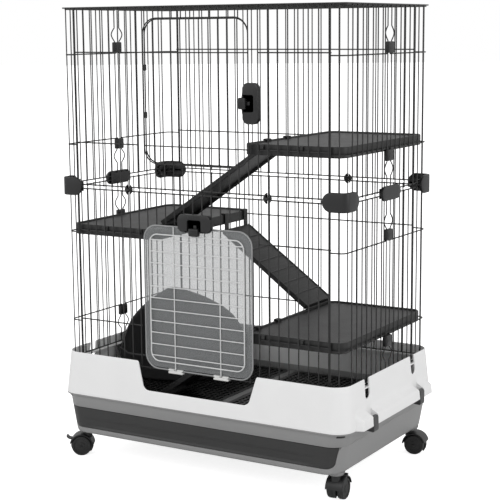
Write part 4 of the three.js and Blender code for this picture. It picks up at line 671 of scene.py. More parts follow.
def latch_slider():
    """The finger block with its ribs, the bar behind it, and the stem with its hook."""
    knob = pillow((-17, -19, -13), (1, -6.8, 13), 3.5, 2.6)
    ribs = [pillow((-15 + 3.4 * i, -19.6, -9), (-13.2 + 3.4 * i, -18, 9), 0.85, 0.5) for i in range(4)]
    bar = pillow((-16, -9.4, -4), (8, -6.4, 4), 0.6, 0.5)
    stem = pillow((4, -7.4, -4), (8, 6.7, 4), 0.8, 0.5)
    hook = pillow((-5.3, 4.2, -4), (5, 6.7, 4), 0.8, 0.5)
    return merged(knob, *ribs, bar, stem, hook)


for level, (x, z, degrees) in LATCHES.items():
    for piece, part, body in (("case", latch_case(), f"{level}_door"),
                              ("slider", latch_slider(), f"{level}_latch")):
        placed = moved(part, turn_y(degrees), (x, DOOR_BACK, z))
        build(f"latch_{piece}_{level}", placed, LATCH_PLASTIC, body, [f"{level}_latch_{piece}"])


# ---------- Lower door ----------
LOWER_HALF, LOWER_LOW, LOWER_HIGH = 148.7, 255.8, 602.2
GRID_HALF, GRID_LOW, GRID_HIGH = 130, 275.8, 582.2


FRAME_WIRE = 1.8
FRAME_Y = DOOR_BACK - FRAME_WIRE
build("lower_door_frame",
      wire_loop(LOWER_HALF, LOWER_LOW, LOWER_HIGH, DOOR_CORNER, FRAME_Y, FRAME_WIRE),
      OUTER_WIRE, "lower_door")


def lower_grid():
    """The inner loop with its eleven rows, and the two uprights that join it to the frame."""
    upright_y, row_y = DOOR_BACK - 4.3, DOOR_BACK - 7
    rows = (GRID_LOW + GRID_HIGH) / 2 + (np.arange(11) - 5) * 28
    return merged(
        wire_loop(GRID_HALF, GRID_LOW, GRID_HIGH, 22, row_y, 1.5),
        rods([(-GRID_HALF, row_y, z) for z in rows], [(GRID_HALF, row_y, z) for z in rows], 1.2),
        *[rods([(x, upright_y, LOWER_LOW)], [(x, upright_y, LOWER_HIGH)], 1.35)
          for x in (-DOOR_UPRIGHT, DOOR_UPRIGHT)],
    )


build("lower_door_grid", lower_grid(), LIGHT_WIRE, "lower_door", ["lower_door"])


def door_sheet():
    """The clear panel: a rounded rectangle with softly rounded edges, in the frame's plane."""
    low, high = box_mm("lower_door_sheet")
    return stood(pillow((low[0], low[2], -high[1]), (high[0], high[2], -low[1]), 30, 0.5, 8))


build("clear_door_panel", door_sheet(), SHEET_PLASTIC, "lower_door", ["lower_door_sheet"])


def hinge_clip(x):
    """A lug on each side of an upright, each a pair of stacked bars, one round the lowest cross wire
    and one round the door's frame wire, with a bridge between the lugs."""
    parts = []
    front, back = FRAME_Y - 4.5, -218.8
    for side in (-1, 1):
        x1, x2 = sorted([x + side * 3.5, x + side * 20.5])
        parts.append(pillow((x1, front, 248), (x2, back, 253.4), 2, 1.8))
        parts.append(pillow((x1, front, 254.6), (x2, -224.6, 259), 2, 1.6))
        parts.append(pillow((x1 + 3, front + 1, 249), (x2 - 3, -224.8, 258.6), 1.5, 0.5))
    parts.append(pillow((x - 7, front, 248.4), (x + 7, front + 2.4, 255.2), 1.1, 0.6))
    return merged(*parts)


for side, x in (("left", -DOOR_UPRIGHT), ("right", DOOR_UPRIGHT)):
    build(f"hinge_clip_{side}", hinge_clip(x), CLIP_PALE, "lower_door", [f"lower_door_hinge_{side}"])


# ---------- Skirt and base: plans ----------
def plan(half_x, half_y, radius, front_x, side_y, corner_angles):
    """Points and outward normals round a rounded rectangle, anticlockwise from the front left:
    along the front at front_x, round each corner at the given angles, up the sides at side_y."""
    cx, cy = half_x - radius, half_y - radius
    angles = np.asarray(corner_angles, float)

    def straight(values, fixed, normal, along_x):
        values = np.asarray(values, float)
        flat = np.full(len(values), fixed)
        points = np.column_stack([values, flat] if along_x else [flat, values])
        return points, np.tile(normal, (len(values), 1))

    def corner(mid, turned):
        radians = np.radians(turned)
        normal = np.column_stack([np.cos(radians), np.sin(radians)])
        return np.array(mid) + radius * normal, normal

    sections = [
        straight(front_x, -half_y, (0.0, -1.0), True),
        corner((cx, -cy), -90 + angles),
        straight(side_y, half_x, (1.0, 0.0), False),
        corner((cx, cy), 90 - angles[::-1]),
        straight(front_x[::-1], half_y, (0.0, 1.0), True),
        corner((-cx, cy), 90 + angles),
        straight(side_y[::-1], -half_x, (-1.0, 0.0), False),
        corner((-cx, -cy), 270 - angles[::-1]),
    ]
    return (np.concatenate([points for points, _ in sections]),
            np.concatenate([normals for _, normals in sections]))


def walls(points, normals, inset, height, scale_of):
    """Rows of points at the given insets and heights: each plan point drawn in along its normal and
    scaled by the wall's lean at that height. inset and height may differ from column to column."""
    rows = []
    for d, z in zip(inset, height):
        d = np.broadcast_to(d, len(points))
        z = np.broadcast_to(z, len(points))
        flat = (points - normals * d[:, None]) * scale_of(z)
        rows.append(np.column_stack([flat, z]))
    return np.array(rows)


def smooth(value, low, high):
    """0 below low, 1 above high, and the cubic 3t^2 - 2t^3 between them."""
    t = np.clip((value - low) / (high - low), 0, 1)
    return t * t * (3 - 2 * t)


# ---------- Skirt ----------
def dip_edge():
    """The right half of the dip's edge as (x, z): a round lower corner, a straight leaning side and
    a small round upper corner."""
    lower_corner = arc((DIP_BOTTOM - DIP_CORNER, DIP_FLOOR + DIP_CORNER), DIP_CORNER, -90, -8, 8)
    upper = arc((DIP_TOP + 5, SKIRT_TOP - 6), 6, 170, 90, 5)
    return np.concatenate([lower_corner, upper])


def skirt_scale(z):
    """The skirt's lean: its half sizes shrink evenly from its bottom edge to its top."""
    lean = SKIRT_LEAN * (np.asarray(z) - SKIRT_LOW) / (SKIRT_TOP - SKIRT_LOW)
    return np.stack([1 - lean / SKIRT_HALF[0], 1 - lean / SKIRT_HALF[1]], -1)


def skirt_top(points, normals):
    """Height of the skirt's edge at each plan point: level, but for the dip in the front and the
    four round-bottomed slots in the sides."""
    top = np.full(len(points), float(SKIRT_TOP))
    edge = dip_edge()
    front = normals[:, 1] < -0.99
    top[front] = np.interp(np.abs(points[front, 0]), edge[:, 0], edge[:, 1],
                           left=DIP_FLOOR, right=SKIRT_TOP)
    side = np.abs(normals[:, 0]) > 0.99
    across = np.abs(np.abs(points[:, 1]) - SLOT_AT)
    slot = side & (across <= SLOT_HALF)
    centre = SKIRT_TOP - SLOT_DEPTH + SLOT_HALF
    round_end = centre - np.sqrt(np.clip(SLOT_HALF ** 2 - across ** 2, 0, None))
    return np.where(slot, round_end, top)


def grip_share(points, normals, z):
    """How far a side grip stands out at a height, as a share of its full reach: all of it below its
    top, where it eases back to the wall, with soft ends and a notch for each clasp."""
    side = np.abs(normals[:, 0]) > 0.99
    y = np.abs(points[:, 1])
    ends = 1 - smooth(y, GRIP_HALF - 10, GRIP_HALF)
    notch = np.where(np.abs(y - SLOT_AT) < GRIP_NOTCH, 0.0, 1.0)
    rise = 1 - smooth(z, *GRIP_TOP)
    return np.where(side, ends * notch * rise, 0.0)


def skirt():
    """The skirt's wall as one closed skin: the outer face up, over the round edge and down the inner
    face, at columns that follow the dip, the slots and the grips."""
    edge = dip_edge()
    half_front = np.concatenate([np.linspace(0, 120, 9), edge[:, 0], np.linspace(190, 354, 10)])
    front_x = np.unique(np.concatenate([-half_front, half_front]))
    slot = np.array([-12.95, -12.85, -12.1, -12, -11.4, -9.5, -6.5, -3, 0, 3, 6.5, 9.5, 11.4, 12, 12.1,
                     12.85, 12.95])
    half_side = np.concatenate([np.linspace(0, 105, 8), SLOT_AT + slot, np.linspace(150, 185, 4),
                                np.linspace(189, 203, 8)])
    side_y = np.unique(np.concatenate([-half_side, half_side]))
    points, normals = plan(*SKIRT_HALF, SKIRT_CORNER, front_x, side_y, np.linspace(0, 90, 11)[1:-1])
    top = skirt_top(points, normals)
    outer = [(1.2, 166), (0.3, 166.4), (0, 167.5), (0, 172), (0, 180), (0, 187), (0, 190), (0, 193.5),
             (0, 197), (0, 201), (0, 215), (0, 235), (0, 255), (0, 267.5), (0.5, 269.9), (1.75, 271)]
    inner = [(3, 269.9), (SKIRT_WALL, 267.5), (SKIRT_WALL, 235), (SKIRT_WALL, 201), (SKIRT_WALL, 166)]
    insets, heights = [], []
    for index, (d, z) in enumerate(outer + inner):
        share = (z - SKIRT_LOW) / (SKIRT_TOP - SKIRT_LOW)
        from_top = SKIRT_TOP - z
        height = np.where(from_top < 4, top - from_top, SKIRT_LOW + share * (top - SKIRT_LOW))
        height = np.where(np.abs(top - SKIRT_TOP) < 0.01, z, height)
        grip = grip_share(points, normals, height) if index < len(outer) else 0
        insets.append(d - GRIP_OUT * grip)
        heights.append(height)
    return loft(walls(points, normals, insets, heights, skirt_scale), ring_closed=True)


def ledge():
    """The shelf inside the skirt that carries the wire tower: a flat ring from the wall to an
    upright inner edge, left open at the dip."""
    front_x = np.linspace(-354, 354, 60)
    side_y = np.linspace(-205, 205, 12)
    angles = np.linspace(0, 90, 7)[1:-1]
    outer, normals = plan(*SKIRT_HALF, SKIRT_CORNER, front_x, side_y, angles)
    inner, _ = plan(*LEDGE_HALF, LEDGE_CORNER, np.clip(front_x, -362, 362),
                    np.clip(side_y, -204, 204), angles)
    wall = (outer - normals * 2) * skirt_scale(np.full(len(outer), 249.0))
    keep = np.roll(np.arange(len(outer)), -np.argmax(outer[:, 0] > DIP_TOP + 6))
    keep = keep[: len(keep) - int(np.sum((np.abs(outer[:, 0]) <= DIP_TOP + 6) & (normals[:, 1] < -0.9)))]
    low, high = LEDGE
    corners = ((inner, low), (wall, low), (wall, high), (inner, high))
    return loft(np.stack([raised(flat[keep], z) for flat, z in corners], 1))


def skirt_pins():
    """The four pins that the clasps turn on."""
    at = np.array([(sign_x * PIN_X, sign_y * SLOT_AT, PIN_Z) for sign_x, sign_y in CORNERS.values()])
    return rods(at - (0, 15, 0), at + (0, 15, 0), 2.4, 14)


build("skirt_shell", merged(skirt(), ledge(), skirt_pins()), WHITE_PLASTIC, replaced=["skirt"],
      sharp=40)


def clasp(sign_x, sign_y):
    """A clasp's side outline with round corners, pushed along the skirt's side: a block round the
    pin, a tongue below it and a hook under the base's rim, with three finger ribs."""
    outline = np.array([(407.5, 187.5), (411, 188), (415, 186.6), (416.6, 183), (417.2, 156),
                        (416.4, 152.6), (413.5, 151), (394.5, 153.2), (393.6, 154.5), (393.6, 162.4),
                        (407.3, 162.6), (406.6, 170), (406.6, 185.6)])
    y = sign_y * SLOT_AT + np.array([-12, -11, 11, 12])
    centre = outline.mean(0)
    rings = []
    for place, draw in zip(y, (0.93, 1, 1, 0.93)):
        flat = centre + (outline - centre) * draw
        rings.append(np.column_stack([sign_x * flat[:, 0], np.full(len(flat), place), flat[:, 1]]))
    body = loft(rings)
    low, high = sorted([sign_x * 415.2, sign_x * 417.4])
    ribs = [pillow((low, sign_y * SLOT_AT - 8, z), (high, sign_y * SLOT_AT + 8, z + 2), 0.9, 0.6)
            for z in (158, 162, 166)]
    return merged(body, *ribs)


for place, (sign_x, sign_y) in CORNERS.items():
    build(f"clasp_block_{place}", clasp(sign_x, sign_y), CLASP_PLASTIC, f"clasp_{place}",
          [f"skirt_clasp_{place}"])


# ---------- Base ----------
def base_scale(z):
    """The base narrows from its rim to its bottom, more along X than along Y."""
    share = (BASE_TOP - np.asarray(z)) / (BASE_TOP - BASE_LOW)
    return np.stack([1 - share * (1 - BASE_SCALE[0]), 1 - share * (1 - BASE_SCALE[1])], -1)


def drawer_edge(x, gap):
    """Height of the drawer front's lower edge at |x|: level, then a parabola round its corner, then
    the leaning end up to its top."""
    half = DRAWER_HALF + gap
    low_half = half - DRAWER_NARROW
    x = np.abs(x)
    start = low_half - DRAWER_CORNER
    t = 1 - np.sqrt(np.clip(1 - (x - start) / DRAWER_CORNER, 0, 1))
    low = DRAWER_LOW - gap
    curve = low + DRAWER_CORNER * t * t
    lean = low + DRAWER_CORNER + (x - low_half) / DRAWER_NARROW * (DRAWER_TOP + gap - low - DRAWER_CORNER)
    height = np.where(x < start, low, np.where(x < low_half, curve, lean))
    return np.minimum(height, DRAWER_TOP + gap)


def drawer_line(plan_x, gap):
    """Height at which each of the base's leaning columns meets the drawer's lower edge, found by
    halving the span between the edge's lowest and highest point twenty times."""
    low = np.full(len(plan_x), float(DRAWER_LOW - gap))
    high = np.full(len(plan_x), float(DRAWER_TOP + gap))
    for _ in range(20):
        middle = (low + high) / 2
        under = middle < drawer_edge(plan_x * base_scale(middle)[:, 0], gap)
        low, high = np.where(under, middle, low), np.where(under, high, middle)
    return high


def base_plan():
    """The base's rim plan with columns where the drawer's outline bends."""
    bend = np.array([355, 357, 359, 362, 365, 368, 371, 373.5, 375.5, 377, 377.8, 378.6, 379.4, 380, 380.6,
                     381.5])
    first = RIM_HALF[0] - BASE_CORNER
    angles = np.degrees(np.arcsin(np.clip((bend - first) / BASE_CORNER, 0, 1)))
    angles = np.concatenate([angles, [45, 54, 63, 72, 81]])
    front_x = np.unique(np.concatenate([np.linspace(-330, 330, 34), [-349, -346, -342, 342, 346, 349]]))
    side_y = np.linspace(-202, 202, 9)
    return plan(*RIM_HALF, BASE_CORNER, front_x, side_y, angles)


def base_shell():
    """A cup with round lower edges whose front wall is cut down to the drawer's opening, the band
    above that opening, the rim flange under the skirt and the part that nests inside it."""
    points, normals = base_plan()
    facing = (normals[:, 1] < -0.02)
    hole = DRAWER_TOP + DRAWER_GAP
    top = np.where(facing, drawer_line(points[:, 0], DRAWER_GAP), hole)
    low_rows = [(14, 66), (8, 66.2), (4.2, 67.2), (1.6, 69.2), (0.4, 72), (0, 75.5)]
    insets = [d for d, _ in low_rows] + [0, 0.5, BASE_WALL - 0.5, BASE_WALL, BASE_WALL, BASE_WALL + 6]
    heights = [z for _, z in low_rows] + [top - 0.5, top, top, top - 0.5, np.full(len(top), 73.0), 69.5]
    cup = loft(walls(points, normals, insets, heights, base_scale))
    band_rows = [(0.4, hole), (0, hole + 0.5), (0, 162.4), (BASE_WALL, 162.4), (BASE_WALL, hole + 0.5),
                 (BASE_WALL - 0.4, hole)]
    band = loft(walls(points, normals, *zip(*band_rows), base_scale), ring_closed=True)
    outer, outer_normals = plan(*SKIRT_HALF, SKIRT_CORNER, np.linspace(-354, 354, 20),
                                np.linspace(-205, 205, 12), np.linspace(0, 90, 11)[1:-1])
    flange_rows = [(9, 162.7), (0.8, 162.7), (0, 163.5), (0, 165), (0.7, 165.7), (9, 165.7)]
    flange = loft(walls(outer, outer_normals, *zip(*flange_rows), lambda z: np.ones((len(z), 2))),
                  ring_closed=True)
    nest_rows = [(0.6, 162.5), (0.6, 175), (1.4, 176), (3, 176), (3.6, 175), (3.6, 162.5)]
    nest = loft(walls(points, normals, *zip(*nest_rows), lambda z: np.ones((len(z), 2))), ring_closed=True)
    return merged(cup, band, flange, nest)


def base_inside():
    """The seat round the inside that carries the grates, the divider between them and the two
    runners under the drawer."""
    points, normals = base_plan()
    seat_low, seat_top = SEAT
    seat_rows = [(2, seat_low), (2, seat_top), (17, seat_top), (17, seat_low)]
    seat = loft(walls(points, normals, *zip(*seat_rows), base_scale), ring_closed=True)
    divider = merged(pillow((-18, -240, seat_low), (18, 240, seat_top), 1, 0.4),
                     pillow((-10, -240, 154), (10, 240, FLOOR), 2, 1.2))
    runners = [pillow((x - 7, -227, 68), (x + 7, 239, 81.7), 2, 1) for x in (-RUNNER_AT, RUNNER_AT)]
    return merged(seat, divider, *runners)


def bosses():
    """A tapered boss over each caster, turned from a profile of (radius, height)."""
    profile = [(0, 69), (21, 69), (20.4, 66.5), (17.5, 61), (16.4, 60.2), (5.6, 60.2), (5.6, 68), (0, 68)]
    return merged(*[lathe(profile, (x, y, 0), "z", 32) for x, y, _ in CASTERS.values()])


build("base_shell", merged(base_shell(), base_inside(), bosses()), GREY_PLASTIC, replaced=["base_pan"],
      sharp=40)


# ---------- Drawer ----------
def drawer_front():
    """The drawer's front: a skin that follows the base's wall from corner to corner, with round
    edges and a shallow finger recess along its lower half."""
    points, normals = base_plan()
    top_x = np.abs(points[:, 0]) * base_scale(DRAWER_TOP)[0]
    keep = (normals[:, 1] < -0.02) & (top_x < DRAWER_HALF + 0.1)
    order = np.argsort(points[keep, 0])
    points, normals = points[keep][order], normals[keep][order]
    low = drawer_line(points[:, 0], 0)
    recess_side = 1 - smooth(np.abs(points[:, 0]), *RECESS_END)
    rows, edge = [], 1.2
    levels = np.concatenate([[0.0, 0.02], np.linspace(0.06, 0.94, 19), [0.98, 1.0]])
    for share in levels:
        z = low + share * (DRAWER_TOP - low)
        recess = DRAWER_RECESS * recess_side * (1 - smooth(z, *RECESS_TOP)) * smooth(z, *RECESS_LOW)
        soft = edge if share in (0.0, 1.0) else 0
        rows.append((0.3 + soft + recess, z))
    rows.append((DRAWER_THICK, np.full(len(points), float(DRAWER_TOP))))
    rows.append((DRAWER_THICK, low))
    grid = walls(points, normals, [d for d, _ in rows], [z for _, z in rows], base_scale)
    return loft(np.swapaxes(grid, 0, 1))


def drawer_tray():
    """The tray behind the front: rings from the middle of its underside, out and up its walls, over
    a rolled rim and down to its inside floor."""
    rows = [(9, 82), (3, 82.6), (0.6, 84.6), (0, 88), (0, 126.8), (0.6, 128), (2, 128), (2.5, 126.8),
            (2.5, 89), (4, 86), (9, 84.6)]
    rings = []
    for d, z in rows:
        outline = round_rectangle(-TRAY_HALF + d, TRAY_FRONT + d, TRAY_HALF - d, TRAY_BACK - d, 42 - d, 8)
        rings.append(raised(outline, z))
    return loft(rings)


build("drawer_body", merged(drawer_front(), drawer_tray()), DRAWER_PLASTIC, "drawer", ["drawer_tray"],
      sharp=40)


# ---------- Floor grates ----------
def grate(side):
    """A frame of flat bars round a lattice of thin bars, 15 mm apart both ways."""
    (x1, y1, z1), (x2, y2, z2) = box_mm(f"floor_grate_{side}")
    border = 12
    centre = np.array([(x1 + x2) / 2, (y1 + y2) / 2])
    parts = []
    outer = round_rectangle(x1, y1, x2, y2, 20)
    inner = round_rectangle(x1 + border, y1 + border, x2 - border, y2 - border, 8)
    rows = [(inner, z1), (outer, z1), (outer, z2 - 0.8), (outer * 0.998 + centre * 0.002, z2), (inner, z2)]
    parts.append(loft([raised(flat, z) for flat, z in rows], ring_closed=True))
    half = np.array([(x2 - x1) / 2 - border + 1, (y2 - y1) / 2 - border + 1])
    spacing, half_width = 15, 2.2
    for way, direction in ((1, np.array([1.0, 0.0])), (-1, np.array([0.0, 1.0]))):
        across = np.array([-direction[1], direction[0]])
        reach, run = half @ np.abs(across), half @ direction
        count = int(reach // spacing)
        base = np.arange(-count, count + 1)[:, None] * spacing * across
        starts, ends = centre + base - run * direction, centre + base + run * direction
        half_bar = across * half_width
        z_low, z_high = (z1 + 0.5, z2 - 0.3) if way > 0 else (z1 + 0.7, z2 - 0.5)
        corners = np.stack([starts - half_bar, starts + half_bar, ends + half_bar, ends - half_bar], 1)
        bottom = np.concatenate([corners, np.full(corners.shape[:2] + (1,), z_low)], 2)
        top = np.concatenate([corners, np.full(corners.shape[:2] + (1,), z_high)], 2)
        points = np.concatenate([bottom, top], 1).reshape(-1, 3)
        faces = []
        for index in range(len(starts)):
            a = index * 8
            faces += [[a, a + 3, a + 2, a + 1], [a + 4, a + 5, a + 6, a + 7], [a, a + 1, a + 5, a + 4],
                      [a + 1, a + 2, a + 6, a + 5], [a + 2, a + 3, a + 7, a + 6], [a + 3, a, a + 4, a + 7]]
        parts.append((points, faces))
    return merged(*parts)


for side in SIDES:
    build(f"lattice_floor_{side}", grate(side), GRATE_PLASTIC, replaced=[f"floor_grate_{side}"],
          sharp=30)


# ---------- Casters ----------
AXLE_Z, TRAIL, WHEEL = 25, 14, 25


def wheel(side):
    """One of a caster's two wheels, turned from a profile of (radius, along the axle) that is the same
    both ways from its middle: a flat tread with round shoulders, and a dished face with a hub."""
    middle = 12.5
    half = [(3, -8), (9, -8), (9.6, -7), (18, -6.2), (19, -8), (22.4, -8), (24.2, -6.6), (WHEEL, -4)]
    profile = np.array(half + [(radius, -along) for radius, along in reversed(half)], float)
    profile[:, 1] += side * middle
    return lathe(profile, (0, TRAIL, AXLE_Z), "x", 36)


def caster_body(with_brake):
    """The hood round the top of the wheels, the web between them, the neck and the stem, with a
    brake tab that curves up and out on a front caster."""
    hood = [(27.2, -21.6), (29, -21.6), (30.2, -20), (30.5, -16), (30.5, 16), (30.2, 20), (29, 21.6),
            (27.2, 21.6)]
    web = [(6, -3.6), (28.4, -3.6), (28.4, 3.6), (6, 3.6)]
    parts = [
        lathe(hood, (0, TRAIL, AXLE_Z), "x", 22, 14, 176),
        lathe(web, (0, TRAIL, AXLE_Z), "x", 28, -40, 220),
        lathe([(0, 45), (12, 45), (10.6, 55), (9.6, 59.4), (0, 59.4)], (0, 0, 0), "z", 24),
        lathe([(0, 58), (4.8, 58), (4.8, 69.4), (4, 70.2), (0, 70.2)], (0, 0, 0), "z", 20),
        rods([(-21, TRAIL, AXLE_Z)], [(21, TRAIL, AXLE_Z)], 3.1, 16),
    ]
    if with_brake:
        bend = np.radians(np.linspace(0, 78, 8))
        y = TRAIL + 26 + 12 * np.sin(bend)
        z = AXLE_Z + 16 + 10 * (1 - np.cos(bend))
        rings = []
        for place, height, slope in zip(y, z, bend):
            across = np.array([-9, -9, 9, 9])
            thick = np.array([-1.6, 1.6, 1.6, -1.6])
            rings.append(np.column_stack([across, place - thick * np.sin(slope) * 0.8,
                                          height + thick * np.cos(slope)]))
        parts.append(loft(rings))
    return merged(*parts)


for place, (x, y, degrees) in CASTERS.items():
    body = moved(caster_body(place.startswith("front")), turn_z(degrees), (x, y, 0))
    wheels = moved(merged(wheel(-1), wheel(1)), turn_z(degrees), (x, y, 0))
    build(f"caster_hood_{place}", body, CLIP_BLACK, f"caster_{place}", [f"caster_body_{place}"])
    build(f"caster_pair_{place}", wheels, RUBBER, f"wheels_{place}", [f"caster_wheels_{place}"])


# ---------- Shelves ----------
def shelf_rings(x1, x2, rows):
    """Outlines of a shelf drawn in by each row's inset, at each row's height."""
    rings = []
    for d, z in rows:
        outline = round_rectangle(x1 + d, -SHELF_Y + d, x2 - d, SHELF_Y - d, max(26 - d, 6), 8)
        rings.append(raised(outline, z))
    return rings


def shelf(sign_x, top):
    """The shelf's rim: down its round outer edge, in under it and up behind to the floor plate."""
    x1, x2 = sorted([sign_x * SHELF_NEAR, sign_x * SHELF_FAR])
    low = top - 25
    rows = [(5.2, top - 5), (4.6, top - 1.2), (3.4, top), (1.2, top), (0.3, top - 0.8),
            (0, top - 2.6), (0, low + 1.2), (0.6, low + 0.2), (1.4, low), (3.4, low), (4, low + 1),
            (4, top - 8)]
    rim = loft(shelf_rings(x1, x2, rows))
    lugs = []
    for x in (169, 269):
        for sign_y in (-1, 1):
            y1, y2 = sorted([sign_y * 214, sign_y * 221.4])
            lugs.append(pillow((sign_x * x - 8, y1, top - 11), (sign_x * x + 8, y2, top - 1), 2, 1.5))
    return merged(rim, *lugs)


def shelf_mat(sign_x, top):
    """The shelf's recessed floor, a plate just proud of the rim's own, with its grip pattern."""
    x1, x2 = sorted([sign_x * SHELF_NEAR, sign_x * SHELF_FAR])
    rows = [(5.4, top - 6), (5.4, top - 4.6), (6, top - 4.2), (9, top - 4.2)]
    return loft(shelf_rings(x1, x2, rows))


for name, (sign_x, top) in SHELVES.items():
    build(f"{name}_rim", shelf(sign_x, top), SHELF_RIM, replaced=[name])
    build(f"{name}_floor", shelf_mat(sign_x, top), SHELF_PLASTIC)


# ---------- Ramps ----------
def ramp(start_x, start_z, end_x, end_z, middle_y, rim_top):
    """A flanged plate with round cross ribs, made lying along +X from its start and then tipped down,
    with two hooks over the upper rim and a foot on what it comes down to."""
    way = 1 if end_x > start_x else -1
    run, fall = abs(end_x - start_x), start_z - end_z
    length = math.hypot(run, fall)
    half = RAMP_HALF
    parts = [pillow((0, -half, -3), (length, half, 0), 3, 1.2)]
    for y1, y2 in ((-half, -half + 4), (half - 4, half)):
        parts.append(pillow((0, y1, -11), (length, y2, 2), 1.9, 1.2))
    for x1, x2 in ((0, 4), (length - 4, length)):
        parts.append(pillow((x1, -half, -11), (x2, half, -0.2), 1.9, 1.2))
    pitch = length / 7
    for index in range(1, 7):
        x = index * pitch
        parts.append(rods([(x, -half + 3, -0.3)], [(x, half - 3, -0.3)], 2.4, 12))
    body = moved(merged(*parts), turn_y(math.degrees(math.atan2(fall, run))))
    if way < 0:
        body = moved(body, turn_z(180))
    body = moved(body, by=(start_x, middle_y, start_z))
    points, faces = body
    points[:, 0] = (np.maximum if way > 0 else np.minimum)(points[:, 0], start_x)
    parts = [(points, faces)]
    for side in (-1, 1):
        y = middle_y + side * (half - 18)
        x1, x2 = sorted([start_x, start_x + way * 3])
        parts.append(pillow((x1, y - 9, start_z - 6), (x2, y + 9, rim_top + 3.3), 1.2, 0.9))
        x1, x2 = sorted([start_x + way, start_x - way * 10])
        parts.append(pillow((x1, y - 9, rim_top + 0.3), (x2, y + 9, rim_top + 3.3), 1.2, 0.9))
        x1, x2 = sorted([start_x - way * 7, start_x - way * 10])
        parts.append(pillow((x1, y - 9, rim_top - 3), (x2, y + 9, rim_top + 2), 1.2, 0.9))
    foot_z = end_z - RAMP_LIFT + 0.3
    x1, x2 = sorted([end_x - way * 12, end_x + way * 3])
    parts.append(pillow((x1, middle_y - half + 4, foot_z), (x2, middle_y + half - 4, foot_z + 3), 1.2, 0.9))
    return merged(*parts)


for name, sizes in RAMPS.items():
    build(f"{name}_board", ramp(*sizes), SHELF_PLASTIC, replaced=[name])


# ---------- Litter pan ----------
def litter_pan():
    """A pan whose two high walls meet in the cage's back left corner. Its front is a superellipse,
    x = size sin(t)^0.62 and y = -size cos(t)^0.62, and its walls sweep down along the diagonal from
    200 mm high at the corner to a 66 mm lip, with a rolled rim."""
    size, corner = 244, np.array([-368.5, 210.5])
    t = np.linspace(0, np.pi / 2, 65)
    front = np.column_stack([np.sin(t) ** 0.62, -np.cos(t) ** 0.62]) * size
    side = np.linspace(0.97, 0.06, 18)[:, None]
    up_x = np.column_stack([side * size, 0 * side])
    round_corner = arc((12, -12), 12, 90, 180, 6)
    down_y = np.column_stack([0 * side[::-1], -side[::-1] * size])
    outline = np.concatenate([front[1:-1], [front[-1] * (1, 0)], up_x, round_corner, down_y,
                              [front[0] * (0, 1)]])
    ahead = np.roll(outline, -1, 0) - np.roll(outline, 1, 0)
    ahead /= np.linalg.norm(ahead, axis=1, keepdims=True)
    normals = np.stack([ahead[:, 1], -ahead[:, 0]], 1)
    diagonal = (outline[:, 0] - outline[:, 1]) / math.sqrt(2)
    reach = [-30, 20, 80, 125, 150, 165, 178, 400]
    rise = [200, 197, 180, 155, 128, 92, 66, 66]
    fine = np.linspace(-30, 400, 200)
    curve = np.interp(fine, reach, rise)
    curve = np.convolve(np.pad(curve, 6, "edge"), np.ones(13) / 13, "valid")
    low = FLOOR + 0.3
    top = low + np.interp(diagonal, fine, curve)
    rows = [(12, low), (3.5, low + 0.5), (0.8, low + 3), (0, low + 8), (0, top - 7), (-1.4, top - 5),
            (-1.6, top - 2), (-0.2, top - 0.2), (2, top), (3.2, top - 1.6), (3, top - 7), (3, low + 11),
            (5, low + 5), (12, low + 3)]
    rings = []
    for d, z in rows:
        flat = outline - normals * d
        flat = np.stack([np.maximum(flat[:, 0], -1.4), np.minimum(flat[:, 1], 1.4)], 1)
        rings.append(raised(flat + corner, z))
    return loft(rings)


build("litter_pan_body", litter_pan(), PAN_PLASTIC, replaced=["litter_pan"], sharp=50)


# ---------- Floor, light and camera ----------
def seen(tree):
    """A value that is 1 for camera and transmitted rays and 0 for all others."""
    path = node(tree, "ShaderNodeLightPath")
    either = node(tree, "ShaderNodeMath", [(path.outputs["Is Camera Ray"], 0),
                                           (path.outputs["Is Transmission Ray"], 1)], operation="MAXIMUM")
    return either.outputs[0]


def seen_or_lit(name, shown, lit):
    """A matte material that adds a glow for camera and transmitted rays alone, so that it
    looks white there and still takes the object's shadow."""
    material = bpy.data.materials.new(name)
    material.use_nodes = True
    tree = material.node_tree
    shader = tree.nodes["Principled BSDF"]
    shader.inputs["Base Color"].default_value = linear(lit)
    shader.inputs["Roughness"].default_value = 0.9
    strength = node(tree, "ShaderNodeMath", [(seen(tree), 0)], operation="MULTIPLY")
    strength.inputs[1].default_value = shown
    shader.inputs["Emission Color"].default_value = (1, 1, 1, 1)
    tree.links.new(strength.outputs[0], shader.inputs["Emission Strength"])
    return material


def floor():
    """A pale round floor, drawn as rings of growing radius so that it has no edge in view."""
    angle = np.arange(64) / 64 * 2 * np.pi
    radius = np.array([400.0, 2000, 8000, 40000])
    rings = np.stack([radius[:, None] * np.cos(angle), radius[:, None] * np.sin(angle),
                      np.zeros((4, 64))], -1)
    points, faces = loft(rings, caps=False)
    mesh = bpy.data.meshes.new("studio_floor")
    mesh.from_pydata((points / 1000).tolist(), [], faces + [list(range(64))])
    mesh.materials.append(seen_or_lit("pale_floor", 0.8, "e8e8e8"))
    made = bpy.data.objects.new("studio_floor", mesh)
    bpy.context.scene.collection.objects.link(made)


floor()


def aim(right, up, back, place):
    """The matrix that puts a lamp or camera at a place, from its own right, up and back."""
    matrix = np.eye(4)
    matrix[:3] = np.column_stack([right, up, back, place])
    return Matrix(matrix.tolist())


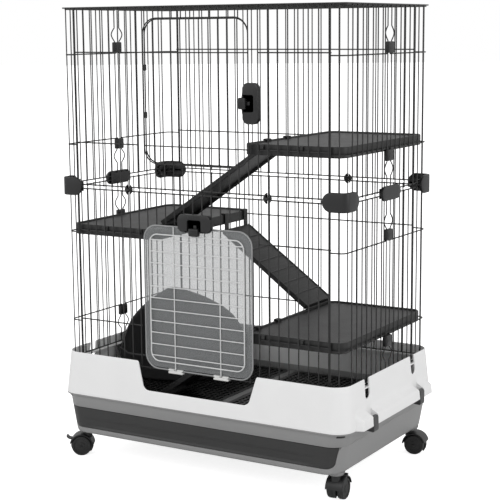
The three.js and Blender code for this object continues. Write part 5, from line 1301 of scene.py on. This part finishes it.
def lamp(name, place, target, size, power):
    """A square soft lamp at a place in metres, aimed at a point."""
    data = bpy.data.lights.new(name, "AREA")
    data.energy = power
    data.size = size
    made = bpy.data.objects.new(name, data)
    bpy.context.scene.collection.objects.link(made)
    back = np.array(place, float) - np.array(target, float)
    back /= np.linalg.norm(back)
    right = np.cross((0, 0, 1), back)
    right /= np.linalg.norm(right)
    up = np.cross(back, right)
    made.matrix_world = aim(right, up, back, place)


lamp("key_lamp", (0.4, -3.4, 2.6), (0, 0, 0.5), 2.2, 30)
lamp("fill_lamp", (-2.6, -2.4, 1.8), (0, 0, 0.4), 2.2, 9)
lamp("side_lamp", (3.0, 0.4, 1.4), (0, 0, 0.4), 1.8, 16)

world = bpy.data.worlds.new("studio")
bpy.context.scene.world = world
world.use_nodes = True
sky = world.node_tree
sky.nodes.clear()
soft = node(sky, "ShaderNodeBackground", Color=linear("f4f4f4"), Strength=0.85)
white = node(sky, "ShaderNodeBackground", Color=(1, 1, 1, 1), Strength=1.0)
mixed = node(sky, "ShaderNodeMixShader",
             [(seen(sky), 0), (soft.outputs[0], 1), (white.outputs[0], 2)])
node(sky, "ShaderNodeOutputWorld", [(mixed.outputs[0], "Surface")])

# The camera stands in front and to the right, a little above the cage's middle.
AZIMUTH, ELEVATION, ROLL = 30.765, 9.205, -0.478
CAMERA_AT = (1.701651, -2.84419, 1.056288)
FOCAL_PIXELS, FRAME_PIXELS, SENSOR = 1359.714, 500, 36
azimuth, elevation, roll = (math.radians(value) for value in (AZIMUTH, ELEVATION, ROLL))
forward = np.array([-math.sin(azimuth) * math.cos(elevation), math.cos(azimuth) * math.cos(elevation),
                    -math.sin(elevation)])
right = np.cross(forward, (0, 0, 1))
right /= np.linalg.norm(right)
upward = np.cross(right, forward)
rolled_right = math.cos(roll) * right + math.sin(roll) * upward
rolled_up = math.cos(roll) * upward - math.sin(roll) * right
camera_data = bpy.data.cameras.new("studio_camera")
camera_data.sensor_width = SENSOR
camera_data.lens = FOCAL_PIXELS / FRAME_PIXELS * SENSOR
camera_data.clip_end = 100
camera = bpy.data.objects.new("studio_camera", camera_data)
bpy.context.scene.collection.objects.link(camera)
camera.matrix_world = aim(rolled_right, rolled_up, -forward, CAMERA_AT)
bpy.context.scene.camera = camera
bpy.context.scene.view_settings.view_transform = "Standard"

bpy.context.view_layer.update()
